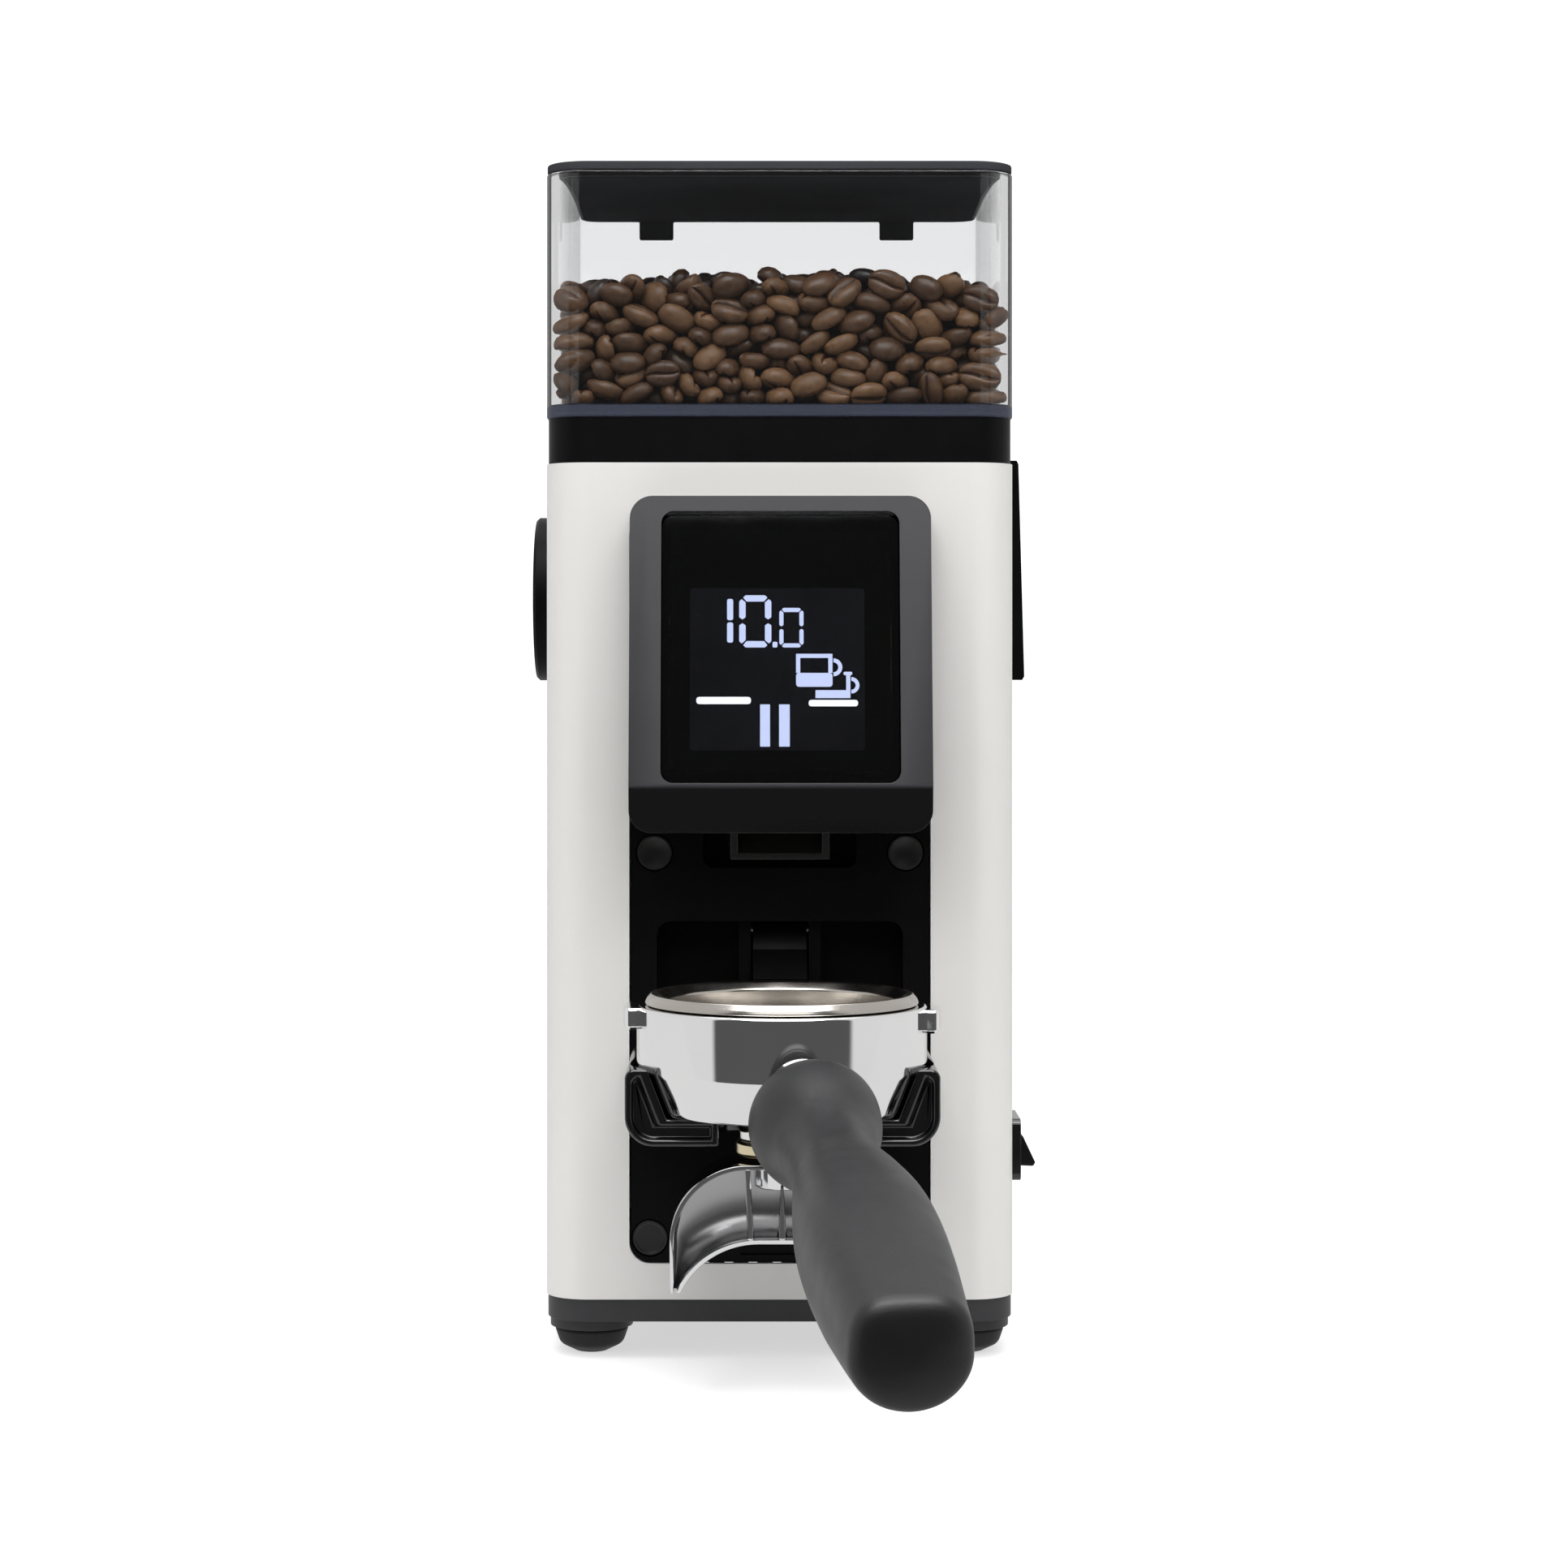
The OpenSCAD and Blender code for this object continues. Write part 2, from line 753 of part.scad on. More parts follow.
module adjust_dial() {
    color("#1c1c1e") translate([0, axis_y, dial_z]) difference() {
        union() {
            rod_x(dial_r, -half_w - 5, -half_w - 0.4);
            translate([-half_w - 5.8, 0, 0]) rotate([0, 90, 0])
                cylinder(h = 0.9, r1 = dial_r - 0.8, r2 = dial_r);
            rod_x(7, -half_w - 1, -half_w - 0.3);
        }
        rod_x(4, -half_w - 3, -half_w + 1);
        // pointer groove
        span([-half_w - 6.5, -0.7, 9], [-half_w - 5.2, 0.7, 19]);
    }
}

module dial_shaft() {
    color("lightsteelblue") translate([0, axis_y, dial_z]) {
        rod_x(4, -half_w - 3, -37.6);
        rod_x(pitch_r - 0.4, -42.6, -37.6);
        for (a = [0:pinion_teeth - 1]) rotate([(a + 0.5) * 360 / pinion_teeth, 0, 0])
            translate([-42.4, -0.55, pitch_r - 1.6]) cube([4.6, 1.1, 2.8]);
    }
}

// ---------- electronics ----------

module power_board() {
    color("seagreen") difference() {
        span([-40, 176, 60], [40, 177.6, 152]);
        for (x = [-34, 34], z = [66, 146]) translate([x, 0, z]) rod_y(1.4, 175, 179);
    }
}

module capacitor() {
    color("steelblue") {
        translate([-24, 164.9, 92]) cylinder(h = 38, r = 11);
        translate([4, 0, 140]) rod_y(6, 158, 176);
    }
}

module transformer() {
    color("goldenrod") {
        span([0, 152, 84], [34, 176, 94]);
        span([4, 154, 94], [30, 174, 112]);
        span([0, 152, 112], [34, 176, 122]);
    }
}

module terminal_block() {
    color("ivory") difference() {
        span([-30, 164, 64], [30, 176, 76]);
        for (i = [-2:2]) translate([i * 11, 168, 70]) cylinder(h = 8, r = 2.6);
    }
}

// ---------- switches and latch ----------

module switch_bezel() {
    color("#26262a") difference() {
        union() {
            translate([half_w, switch_y, switch_z]) rotate([0, 90, 0])
                linear_extrude(2.6) rounded(16.7, 22, 2);
            span([45, switch_y - 9, switch_z - 7], [half_w + 1, switch_y + 9, switch_z + 7]);
        }
        span([50, switch_y - 7, switch_z - 6.7], [half_w + 4, switch_y + 7, switch_z + 6.5]);
        translate([rocker_x, 0, switch_z]) rod_y(1.25, switch_y - 8.5, switch_y + 8.5);
    }
}

module power_rocker() {
    color("#151517") {
        translate([0, switch_y + 6.7, 0]) rotate([90, 0, 0]) linear_extrude(13.4)
            polygon([
                [55, 51.6], [57.5, 49.8], [69.3, 49.4], [69.9, 50.4],
                [66.6, 57.4], [64.6, 59.4], [57, 59.2], [55, 57]
            ]);
        translate([rocker_x, 0, switch_z]) rod_y(1.2, switch_y - 8.4, switch_y + 8.4);
    }
}

button_z = 103.5;
button_r = 1.5;

module micro_switch() {
    color("#303030") difference() {
        span([-10, 59.7, 97], [10, 66.5, 110]);
        translate([0, 0, button_z]) rod_y(button_r + 0.1, 59, 65);
    }
}

module switch_button() {
    color("crimson") translate([0, 0, button_z]) rod_y(button_r, 54.8, 62);
}

module dosing_paddle() {
    color("#3c3c40") difference() {
        union() {
            side(14.4, [
                [50.7, 116.2], [47.4, 109.6], [35.7, 102.9], [36.5, 100.7],
                [49.2, 107.4], [52.5, 111.5], [52.5, 101.8], [54.5, 101.8],
                [54.8, 116.2]
            ]);
            translate([0, pin_y, pin_z]) rod_x(2.4, -7.2, 7.2);
        }
        translate([0, pin_y, pin_z]) rod_x(1.05, -8, 8);
    }
}

module latch_bracket() {
    color("silver") difference() {
        union() {
            span([49.5, latch_y - 12, 216], [51.3, latch_y + 12, 228]);
            for (y = [-12, 8.5])
                span([49.5, latch_y + y, 216], [half_w - wall - 0.1, latch_y + y + 3.5, 228]);
        }
        translate([latch_x, 0, latch_z]) rod_y(1.5, latch_y - 13, latch_y + 13);
    }
}

module pivot_pins() {
    color("gainsboro") {
        translate([latch_x, 0, latch_z]) rod_y(1.5, latch_y - 12, latch_y + 12);
        translate([0, pin_y, pin_z]) rod_x(1, -11, 11);
    }
}

module latch_lever() {
    color("#1c1c1e") difference() {
        union() {
            // outer finger blade, thicker towards its lower end
            translate([0, latch_y + 12, 0]) rotate([90, 0, 0]) linear_extrude(24)
                polygon([
                    [half_w + 0.3, 183], [half_w + 0.9, 182], [half_w + 3.4, 182],
                    [half_w + 4, 183], [half_w + 3.2, 206], [half_w + 2.4, 241],
                    [half_w + 1.9, 242], [half_w + 0.3, 242]
                ]);
            // web and hub inside the shell
            span([latch_x, latch_y - 7.5, 218.5], [half_w + 1, latch_y + 7.5, 225.5]);
            translate([latch_x, 0, latch_z]) rod_y(4, latch_y - 7.5, latch_y + 7.5);
            // arm and hook that reach up into the collar
            span([53, latch_y - 4.5, latch_z], [56.4, latch_y + 4.5, 248.5]);
            span([52, latch_y - 4.5, 245.4], [54, latch_y + 4.5, 248.5]);
        }
        translate([latch_x, 0, latch_z]) rod_y(1.55, latch_y - 8, latch_y + 8);
    }
}

// ---------- hopper and lid ----------

module hopper_gate() {
    color("#4a4a4e") {
        span([-gate_half, axis_y + 20, gate_z], [gate_half, back_y - 6, gate_z + gate_t]);
        span([-6, back_y - 12, gate_z + gate_t], [6, back_y - 8, hopper_z + 5]);
    }
}

module hopper() {
    color("lightblue", 0.35) difference() {
        union() {
            translate([0, 0, hopper_z]) linear_extrude(hopper_h) hopper_plan();
            about_axis() translate([0, 0, gate_z + gate_t + 0.4])
                cylinder(h = hopper_z - gate_z - gate_t, r = 21);
            // lug that the latch holds
            span([lug_x[0], latch_y - 4.5, 244], [lug_x[1] - 1.8, latch_y + 4.5, hopper_z + 1]);
            span([lug_x[0], latch_y - 4.5, 244], [lug_x[1], latch_y + 4.5, 245]);
        }
        translate([0, 0, hopper_z + hopper_floor])
            linear_extrude(hopper_h) hopper_plan(hopper_wall);
        about_axis() translate([0, 0, gate_z]) cylinder(h = 20, r = 18);
        about_axis() translate([0, 0, hopper_z]) cylinder(h = 4, r1 = 18, r2 = 22);
    }
}

module bean_charge() {
    color("saddlebrown") translate([0, 0, hopper_z + hopper_floor])
        linear_extrude(bean_depth) hopper_plan(hopper_wall + 0.3);
}

plug_in = hopper_wall + 1.6; // margin of the lid's shallow plug
plug_t = 1.5;
tab_x = 35.5;

module lid() {
    color("#2c2c30") difference() {
        union() {
            translate([0, 0, lid_z]) linear_extrude(lid_t) hopper_plan(0.2);
            translate([0, 0, lid_z - plug_t]) linear_extrude(plug_t + 1) hopper_plan(plug_in);
            // two tabs that hang behind the plug
            for (x = [-tab_x, tab_x])
                span([x - 5, front_y + hopper_d - plug_in - 2.4, lid_z - 6.9],
                     [x + 5, front_y + hopper_d - plug_in, lid_z]);
        }
        // finger dish in the top face
        translate([0, hopper_mid_y, lid_z + lid_t - 1.2]) linear_extrude(2) rounded(70, 46, 10);
    }
}

module lid_gasket() {
    color("#101010") translate([0, 0, lid_z - 1.3]) linear_extrude(1) difference() {
        hopper_plan(hopper_wall + 0.35);
        hopper_plan(plug_in);
    }
}

// ---------- filter holder ----------

// radius of the fork's seat at a height, about 0.9 mm outside the holder's body
function seat_r(z) = 33.96 + (z - fork_shelf) * 0.342;

module fork_solid(m) {
    difference() {
        slab(fork_front, panel_y) difference() {
            front_outline(fork_w - 2 * m, fork_z0 + m, fork_z1 - m, 2.4);
            // big radius along the lower outside edges
            for (x = [-1, 1]) difference() {
                translate([x * (fork_w / 2 - 3.4), fork_z0 + 3.4]) square(8, center = true);
                translate([x * (fork_w / 2 - 7.4), fork_z0 + 7.4]) circle(7.4 - m);
            }
        }
        translate([0, 0, fork_shelf - m])
            cylinder(h = 20, r1 = seat_r(fork_shelf) + m, r2 = seat_r(fork_shelf + 20) + m);
        cylinder(h = 100, r = 16 + m);
        span([-16 - m, fork_front - 1, 0], [16 + m, 0, 100]);
    }
}

module fork() {
    color("#0c0c0e") difference() {
        fork_solid(0);
        // shallow troughs in the arms' front faces
        intersection() {
            fork_solid(1.8);
            span([-50, fork_front - 1, 60], [50, fork_front + 2.5, 90]);
        }
        for (x = [-1, 1])
            translate([x * fork_screw_x, 0, fork_screw_z]) rod_y(1.5, panel_y - 9, panel_y + 1);
    }
}

module fork_screws() {
    color("silver") for (x = [-1, 1])
        translate([x * fork_screw_x, panel_y + panel_t, fork_screw_z]) rotate([-90, 0, 0])
            screw(1.5, 11, 3.4, 2.6);
}

module holder_body() {
    color("gainsboro") difference() {
        union() {
            rotate_extrude() polygon([[0, fork_shelf], [holder_r - 6.4, fork_shelf],
                [holder_r - 4.1, fork_shelf + 0.9], [holder_r - 3.1, 75],
                [holder_r, 84], [holder_r, holder_top], [0, holder_top]]);
            // threaded neck under the body
            translate([0, 0, 65.7]) cylinder(h = 7.4, r = 11.3);
            translate([0, 0, 55]) cylinder(h = 12, r = 6);
            // two locking ears
            intersection() {
                translate([0, 0, 93]) cylinder(h = 6, r = 40.6);
                span([-50, -8, 90], [50, 8, 100]);
            }
            // boss that takes the handle
            on_handle() translate([0, 0, 30]) cylinder(h = 14, r = 8.5);
            on_handle() translate([0, 0, 40]) cylinder(h = 24, r = 5);
        }
        translate([0, 0, 75]) cylinder(h = 30, r = 31.2);
        translate([0, 0, 50]) cylinder(h = 30, r = 3);
    }
}

module filter_basket() {
    color("silver") difference() {
        union() {
            translate([0, 0, 77.5]) cylinder(h = 24, r = basket_r + 0.8);
            translate([0, 0, holder_top]) cylinder(h = rim_top - holder_top, r1 = 35, r2 = 34.2);
        }
        translate([0, 0, 78.3]) cylinder(h = 30, r = basket_r);
        // ring of drain holes
        for (k = [1:3], a = [0:6 * k - 1])
            rotate(a * 60 / k) translate([k * 7, 0, 77]) cylinder(h = 3, r = 0.6);
    }
}

module spout_nut() {
    color("khaki") difference() {
        translate([0, 0, 61.2]) cylinder(h = 4.2, r = 11.8);
        translate([0, 0, 61]) cylinder(h = 5, r = 6);
    }
}

spout_w = 28.4; // reach of each arm from the middle
spout_tip_z = 27.6;
spout_top_z = 60;
spout_r = 19.7; // shoulder radius
spout_half = 10.5; // half the spout's depth along Y
spout_web = 2.5; // half the thickness of the wall between its troughs
arch_r = 22; // radius of the underside beside its flat middle
arch_x = 6;
arch_mid_z = 18;

// front outline of the spout, shrunk inwards by a margin
module spout_outline(m) {
    difference() {
        union() {
            for (x = [-1, 1])
                translate([x * (spout_w - spout_r), spout_top_z - spout_r]) circle(spout_r - m);
            translate([-spout_w + m, spout_tip_z])
                square([2 * (spout_w - m), spout_top_z - spout_r - spout_tip_z]);
            translate([-spout_w + spout_r, 40])
                square([2 * (spout_w - spout_r), spout_top_z - 40 - m]);
        }
        for (x = [-1, 1]) translate([x * arch_x, arch_mid_z]) circle(arch_r + m);
        translate([-arch_x, 20]) square([2 * arch_x, arch_mid_z + arch_r + m - 20]);
        translate([-40, 0]) square([80, spout_tip_z + m]);
    }
}

module twin_spout() {
    color("gainsboro") difference() {
        slab(-spout_half, spout_half) spout_outline(0);
        // troughs hollowed from the front and the back, around ribs and a flow splitter
        for (y = [[-spout_half - e, -spout_web], [spout_web, spout_half + e]])
            slab(y[0], y[1]) difference() {
                spout_outline(1.4);
                for (x = [-1, 1])
                    polygon([[x * 9.5, 60], [x * 8.1, 60], [x * 7.1, 38], [x * 8.9, 38]]);
                polygon([[-1.3, 38], [1.3, 38], [0.4, 53], [-0.4, 53]]);
            }
        translate([0, 0, 54]) cylinder(h = 10, r = 6);
        // bore that lets the coffee down into both troughs
        translate([0, 0, 48]) cylinder(h = 10, r = 3.4);
    }
}

// places children on the handle's axis, local Z running out from the dosing axis
module on_handle() {
    translate([0, 0, handle_z]) rotate([0, 0, handle_yaw]) rotate([90 + handle_droop, 0, 0])
        children();
}

handle_start = 50;
// [distance out along the handle, radius]
handle_shape = [
    [50, 10.5], [52, 13.8], [56, 15.7], [61, 15.8], [67, 14.8], [76, 12.4], [86, 11.1],
    [98, 11.3], [114, 12.6], [132, 14], [150, 14.5], [168, 14.2], [182, 13.6], [193, 12.7],
    [198, 11.6], [201.5, 9.4], [203.5, 5.6], [204, 0]
];

module handle() {
    color("#3a3b3d") difference() {
        on_handle() rotate_extrude()
            polygon(concat([[0, handle_start]], [for (p = handle_shape) [p[1], p[0]]]));
        on_handle() translate([0, 0, 40]) cylinder(h = 24, r = 5);
    }
}

housing_shell();
base_plate();
rubber_feet();
shell_screws();
top_collar();
rear_panel();
cord_gland();
front_panel();
panel_caps();
display_housing();
display_glass();
lcd_module();
control_board();
fork();
fork_screws();
outlet_spout();
chute();
grinding_chamber();
chassis_screws();
motor_plate();
motor_can();
motor_windings();
lower_end_bell();
upper_end_bell();
bearings();
feed_throat();
power_board();
capacitor();
transformer();
terminal_block();
switch_bezel();
micro_switch();
latch_bracket();
pivot_pins();
motor_shaft();
rotor();
cooling_fan();
burr_carrier();
lower_burr();
lower_burr_screws();
feed_screw();
adjusting_ring();
upper_burr();
upper_burr_screws();
adjust_dial();
dial_shaft();
dosing_paddle();
switch_button();
latch_lever();
power_rocker();
hopper_gate();
hopper();
bean_charge();
lid();
lid_gasket();
holder_body();
filter_basket();
spout_nut();
twin_spout();
handle();
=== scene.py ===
"""Looks for the burr coffee grinder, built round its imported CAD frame: materials,
detailed pieces, floor, light and camera. Shapes are in millimetres, which MM turns into
metres. The floor, the lamps and the camera are in metres."""

import json
import random
from math import atan2, cos, exp, pi, radians, sin, sqrt

import bmesh
import bpy
import numpy as np
from mathutils import Matrix, Quaternion, Vector

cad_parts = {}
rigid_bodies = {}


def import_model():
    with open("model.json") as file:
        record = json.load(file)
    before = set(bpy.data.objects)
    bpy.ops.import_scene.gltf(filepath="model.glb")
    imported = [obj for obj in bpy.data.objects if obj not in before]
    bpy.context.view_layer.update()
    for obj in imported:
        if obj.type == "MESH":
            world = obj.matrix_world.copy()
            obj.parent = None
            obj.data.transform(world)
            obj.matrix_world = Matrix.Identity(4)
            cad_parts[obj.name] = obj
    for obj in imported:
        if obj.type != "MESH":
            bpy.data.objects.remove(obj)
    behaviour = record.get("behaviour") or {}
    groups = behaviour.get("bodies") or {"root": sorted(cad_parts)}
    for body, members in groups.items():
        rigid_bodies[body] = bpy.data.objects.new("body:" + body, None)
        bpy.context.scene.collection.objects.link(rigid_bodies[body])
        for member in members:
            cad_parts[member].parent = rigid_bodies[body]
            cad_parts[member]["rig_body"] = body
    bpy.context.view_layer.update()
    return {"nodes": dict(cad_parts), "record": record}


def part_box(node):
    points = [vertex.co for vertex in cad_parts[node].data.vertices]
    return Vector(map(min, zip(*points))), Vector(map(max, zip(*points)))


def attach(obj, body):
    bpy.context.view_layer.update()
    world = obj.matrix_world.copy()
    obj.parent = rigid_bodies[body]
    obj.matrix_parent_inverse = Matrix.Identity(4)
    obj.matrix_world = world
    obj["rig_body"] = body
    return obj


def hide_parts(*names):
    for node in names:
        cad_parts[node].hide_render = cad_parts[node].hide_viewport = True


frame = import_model()
NODES = frame["nodes"]
MM = 0.001
SCENE = bpy.context.scene


def share(value):
    """The value held between 0 and 1."""
    return min(1.0, max(0.0, value))


def node_box(name):
    """Lowest and highest corner of a CAD node, in millimetres."""
    low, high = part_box(name)
    return low / MM, high / MM


# -------- materials


class Tree:
    """Short calls that add nodes to the node tree of a material or of the world."""

    def __init__(self, owner):
        owner.use_nodes = True
        self.tree = owner.node_tree
        self.tree.nodes.clear()

    def link(self, a, b):
        self.tree.links.new(a, b)

    def node(self, kind, *inputs, **props):
        """A node whose first inputs are linked to sockets or set to values."""
        made = self.tree.nodes.new(kind)
        for key, value in props.items():
            setattr(made, key, value)
        for socket, value in zip(made.inputs, inputs):
            if isinstance(value, bpy.types.NodeSocket):
                self.link(value, socket)
            elif value is not None:
                socket.default_value = value
        return made

    def math(self, operation, *inputs):
        return self.node("ShaderNodeMath", *inputs, operation=operation).outputs[0]

    def coords(self, scale=(1, 1, 1)):
        """Object coordinates, which are the grinder's own, scaled along each axis."""
        place = self.node("ShaderNodeTexCoord").outputs["Object"]
        if scale == (1, 1, 1):
            return place
        return self.node("ShaderNodeMapping", place, None, None, scale).outputs[0]

    def axis(self, letter, vector=None):
        """One axis of a vector, or of the object coordinates."""
        return self.node("ShaderNodeSeparateXYZ", vector or self.coords()).outputs[letter]


class Shader(Tree):
    """A material with one Principled shader, and calls that give it texture."""

    def __init__(self, name, colour, rough, metal=0.0, **sockets):
        self.slot = name
        self.mat = bpy.data.materials.new(name + "_finish")
        super().__init__(self.mat)
        self.bsdf = self.node("ShaderNodeBsdfPrincipled")
        self.out = self.node("ShaderNodeOutputMaterial", self.bsdf.outputs[0])
        self.set("Base Color", (*colour, 1))
        self.set("Roughness", rough)
        self.set("Metallic", metal)
        for socket, value in sockets.items():
            self.set(socket.replace("_", " "), value)

    def set(self, socket, value):
        self.bsdf.inputs[socket].default_value = value

    def to(self, socket, source):
        self.link(source, self.bsdf.inputs[socket])

    def turned(self, x, y):
        """Coordinates of a part turned about a vertical axis: radius and height only."""
        from_axis = self.node("ShaderNodeVectorMath", self.coords(), (x * MM, y * MM, 0),
                              operation="SUBTRACT").outputs[0]
        flat = self.node("ShaderNodeVectorMath", from_axis, (1, 1, 0), operation="MULTIPLY")
        radius = self.node("ShaderNodeVectorMath", flat.outputs[0], operation="LENGTH")
        return self.node("ShaderNodeCombineXYZ", radius.outputs["Value"], None,
                         self.axis("Z", from_axis)).outputs[0]

    def noise(self, scale, detail=2.0, stretch=(1, 1, 1), vector=None, rough=0.5):
        return self.node("ShaderNodeTexNoise", vector or self.coords(stretch), None, scale,
                         detail, rough).outputs[0]

    def bands(self, scale, direction, distortion=0.0):
        """Height of even waves along an axis."""
        return self.node("ShaderNodeTexWave", self.coords(), scale, distortion,
                         wave_type="BANDS", bands_direction=direction).outputs[1]

    def ramp(self, fac, stops):
        made = self.node("ShaderNodeValToRGB", fac)
        while len(made.color_ramp.elements) < len(stops):
            made.color_ramp.elements.new(0.5)
        for element, (place, colour) in zip(made.color_ramp.elements, stops):
            element.position = place
            element.color = (*colour, 1)
        return made.outputs[0]

    def range(self, fac, low, high, start=0.3, stop=0.7):
        """Low where fac is at start, high where it is at stop, and between them between."""
        return self.node("ShaderNodeMapRange", fac, start, stop, low, high).outputs[0]

    def mix(self, amount, a, b, blend_type="MIX"):
        """Mixes two colours, which are the node's seventh and eighth inputs."""
        return self.node("ShaderNodeMix", amount, *[None] * 5, a, b, data_type="RGBA",
                         blend_type=blend_type).outputs[2]

    def attribute(self, name):
        return self.node("ShaderNodeAttribute", attribute_name=name).outputs["Fac"]

    def bump(self, height, depth):
        """Adds relief of the given depth in millimetres on top of any earlier bump."""
        made = self.node("ShaderNodeBump")
        made.inputs["Distance"].default_value = depth * MM
        self.link(height, made.inputs["Height"])
        normal = self.bsdf.inputs["Normal"]
        if normal.is_linked:
            self.link(normal.links[0].from_socket, made.inputs["Normal"])
        self.link(made.outputs[0], normal)

    def blend(self, amount, other):
        """Shows another shader over the present one, as much as the amount says."""
        shown = self.out.inputs[0]
        mix = self.node("ShaderNodeMixShader", amount, shown.links[0].from_socket,
                        other.outputs[0])
        self.link(mix.outputs[0], shown)

    def lets_lamps_through(self, tint):
        """Shadow rays pass straight through, so what is behind the glass is lit."""
        clear = self.node("ShaderNodeBsdfTransparent", (*tint, 1))
        path = self.node("ShaderNodeLightPath")
        self.blend(path.outputs["Is Shadow Ray"], clear)


def shade(colour, k):
    """The colour made k times as bright."""
    return tuple(min(1.0, c * k) for c in colour)


def surface(name, colour, rough, metal=0.0, vary=0.05, patch=45, spread=0.04, grain=1600,
            depth=0.006, turned=None, **sockets):
    """Colour and gloss that drift over the surface, under a fine grain or turning marks."""
    s = Shader(name, colour, rough, metal, **sockets)
    s.to("Base Color", s.ramp(s.noise(patch, 3),
                              [(0.3, shade(colour, 1 - vary)), (0.7, shade(colour, 1 + vary))]))
    s.to("Roughness", s.range(s.noise(patch * 2.7, 4), max(rough - spread, 0.02),
                              rough + spread))
    vector = s.turned(*turned) if turned else None
    s.bump(s.noise(grain, 2, vector=vector), depth)
    return s


def body_paint():
    s = surface("body_paint", (0.74, 0.73, 0.71), 0.36, vary=0.012, patch=12, spread=0.03,
                grain=700, depth=0.012, Coat_Weight=0.15, Coat_Roughness=0.25)
    s.bump(s.noise(3200, 2), 0.003)
    return s


FACE_Y, FACE_Z = 22.0, 154.5    # front lower edge of the display's face, as in the CAD
TILT = atan2(12.0, 76.5)


def display_frame():
    """Satin face with polished edges, over a polished band below it. The polished parts are also
    painted much darker, as painted shade where the frame turns away from the front.
    """
    s = surface("display_frame", (0.018, 0.018, 0.021), 0.48, vary=0.08, spread=0.03,
                grain=2600, depth=0.02, Specular_IOR_Level=0.8)
    above = s.range(s.axis("Z"), 0, 1, (FACE_Z - 0.9) * MM, (FACE_Z + 0.1) * MM)
    normal = s.node("ShaderNodeTexCoord").outputs["Normal"]
    front = s.range(s.axis("Y", normal), 1, 0, -0.965, -0.90)
    face = s.math("MULTIPLY", above, front)
    # the polished parts get a far darker colour too: painted shade on the edges and on the band
    # below the face, which turn away from the front
    for socket, polished_and_shaded in (("Base Color", (0.0015, 0.0015, 0.0017, 1)),
                             ("Roughness", (0.10, 0.10, 0.10, 1))):
        satin = s.bsdf.inputs[socket].links[0].from_socket
        s.to(socket, s.mix(face, polished_and_shaded, satin))
    return s


def smoked_glass():
    s = Shader("display_glass", (0.30, 0.31, 0.34), 0.02, Transmission_Weight=1.0, IOR=1.46)
    s.to("Roughness", s.range(s.noise(30, 4), 0.01, 0.035))
    s.bump(s.noise(18, 2), 0.01)
    s.lets_lamps_through((0.30, 0.31, 0.34))
    return s


def screen():
    s = surface("screen", (0.0035, 0.004, 0.005), 0.30, vary=0.10, patch=25, grain=900,
                depth=0.002, Specular_IOR_Level=0.05)
    s.bump(s.bands(900, "Z"), 0.002)
    return s


def clear_plastic():
    """Clear walls on a floor plate that is dark and bluish when seen edge on; the plate's slate
    diffuse layer is partly the plastic's haze and partly a painted reflection.
    """
    clear, smoky = (0.868, 0.871, 0.875), (0.10, 0.12, 0.18)
    s = Shader("clear_plastic", clear, 0.015, Transmission_Weight=1.0, IOR=1.49)
    floor_top = node_box("bean_charge")[0].z - 0.4
    band = s.range(s.axis("Z"), 0, 1, floor_top * MM, (floor_top + 0.5) * MM)
    s.to("Base Color", s.ramp(band, [(0.0, smoky), (1.0, clear)]))
    s.to("Roughness", s.range(s.noise(22, 5), 0.004, 0.05, 0.45, 0.8))
    s.bump(s.noise(14, 2), 0.02)
    s.lets_lamps_through((0.94, 0.95, 0.96))
    # slate diffuse layer on the floor band: partly the plastic's own haze, partly a painted
    # reflection
    haze_and_reflection = s.node("ShaderNodeBsdfDiffuse", (0.060, 0.068, 0.098, 1))
    s.blend(s.range(band, 0.6, 0.0, 0.0, 1.0), haze_and_reflection)
    return s


def coffee_beans():
    """Roast that differs from bean to bean, with painted shade on beans away from the walls,
    lighter chaff near the crease and painted shade down in it.
    """
    s = Shader("coffee_beans", (0.08, 0.04, 0.019), 0.36, Specular_IOR_Level=0.42)
    mottle = s.noise(420, 4, rough=0.6)
    roast_and_shade = s.math("MULTIPLY_ADD", mottle, 0.5, s.attribute("roast_and_shade"))
    shaded_roast = s.ramp(roast_and_shade, [(0.0, (0.004, 0.002, 0.001)), (0.28, (0.024, 0.011, 0.005)),
                          (0.60, (0.068, 0.033, 0.015)), (1.0, (0.185, 0.098, 0.046))])
    # lighter chaff near the crease, then painted shade down in its bottom
    crease = s.ramp(s.attribute("crease"), [(0.0, (1, 1, 1)), (0.35, (1.25, 1.15, 1.0)),
                                            (0.62, (0.36, 0.30, 0.26)),
                                            (1.0, (0.30, 0.25, 0.22))])
    s.to("Base Color", s.mix(1.0, shaded_roast, crease, "MULTIPLY"))
    s.to("Roughness", s.range(s.noise(260, 3), 0.26, 0.48))
    s.bump(s.noise(900, 3), 0.08)
    s.bump(s.noise(2600, 2), 0.02)
    return s


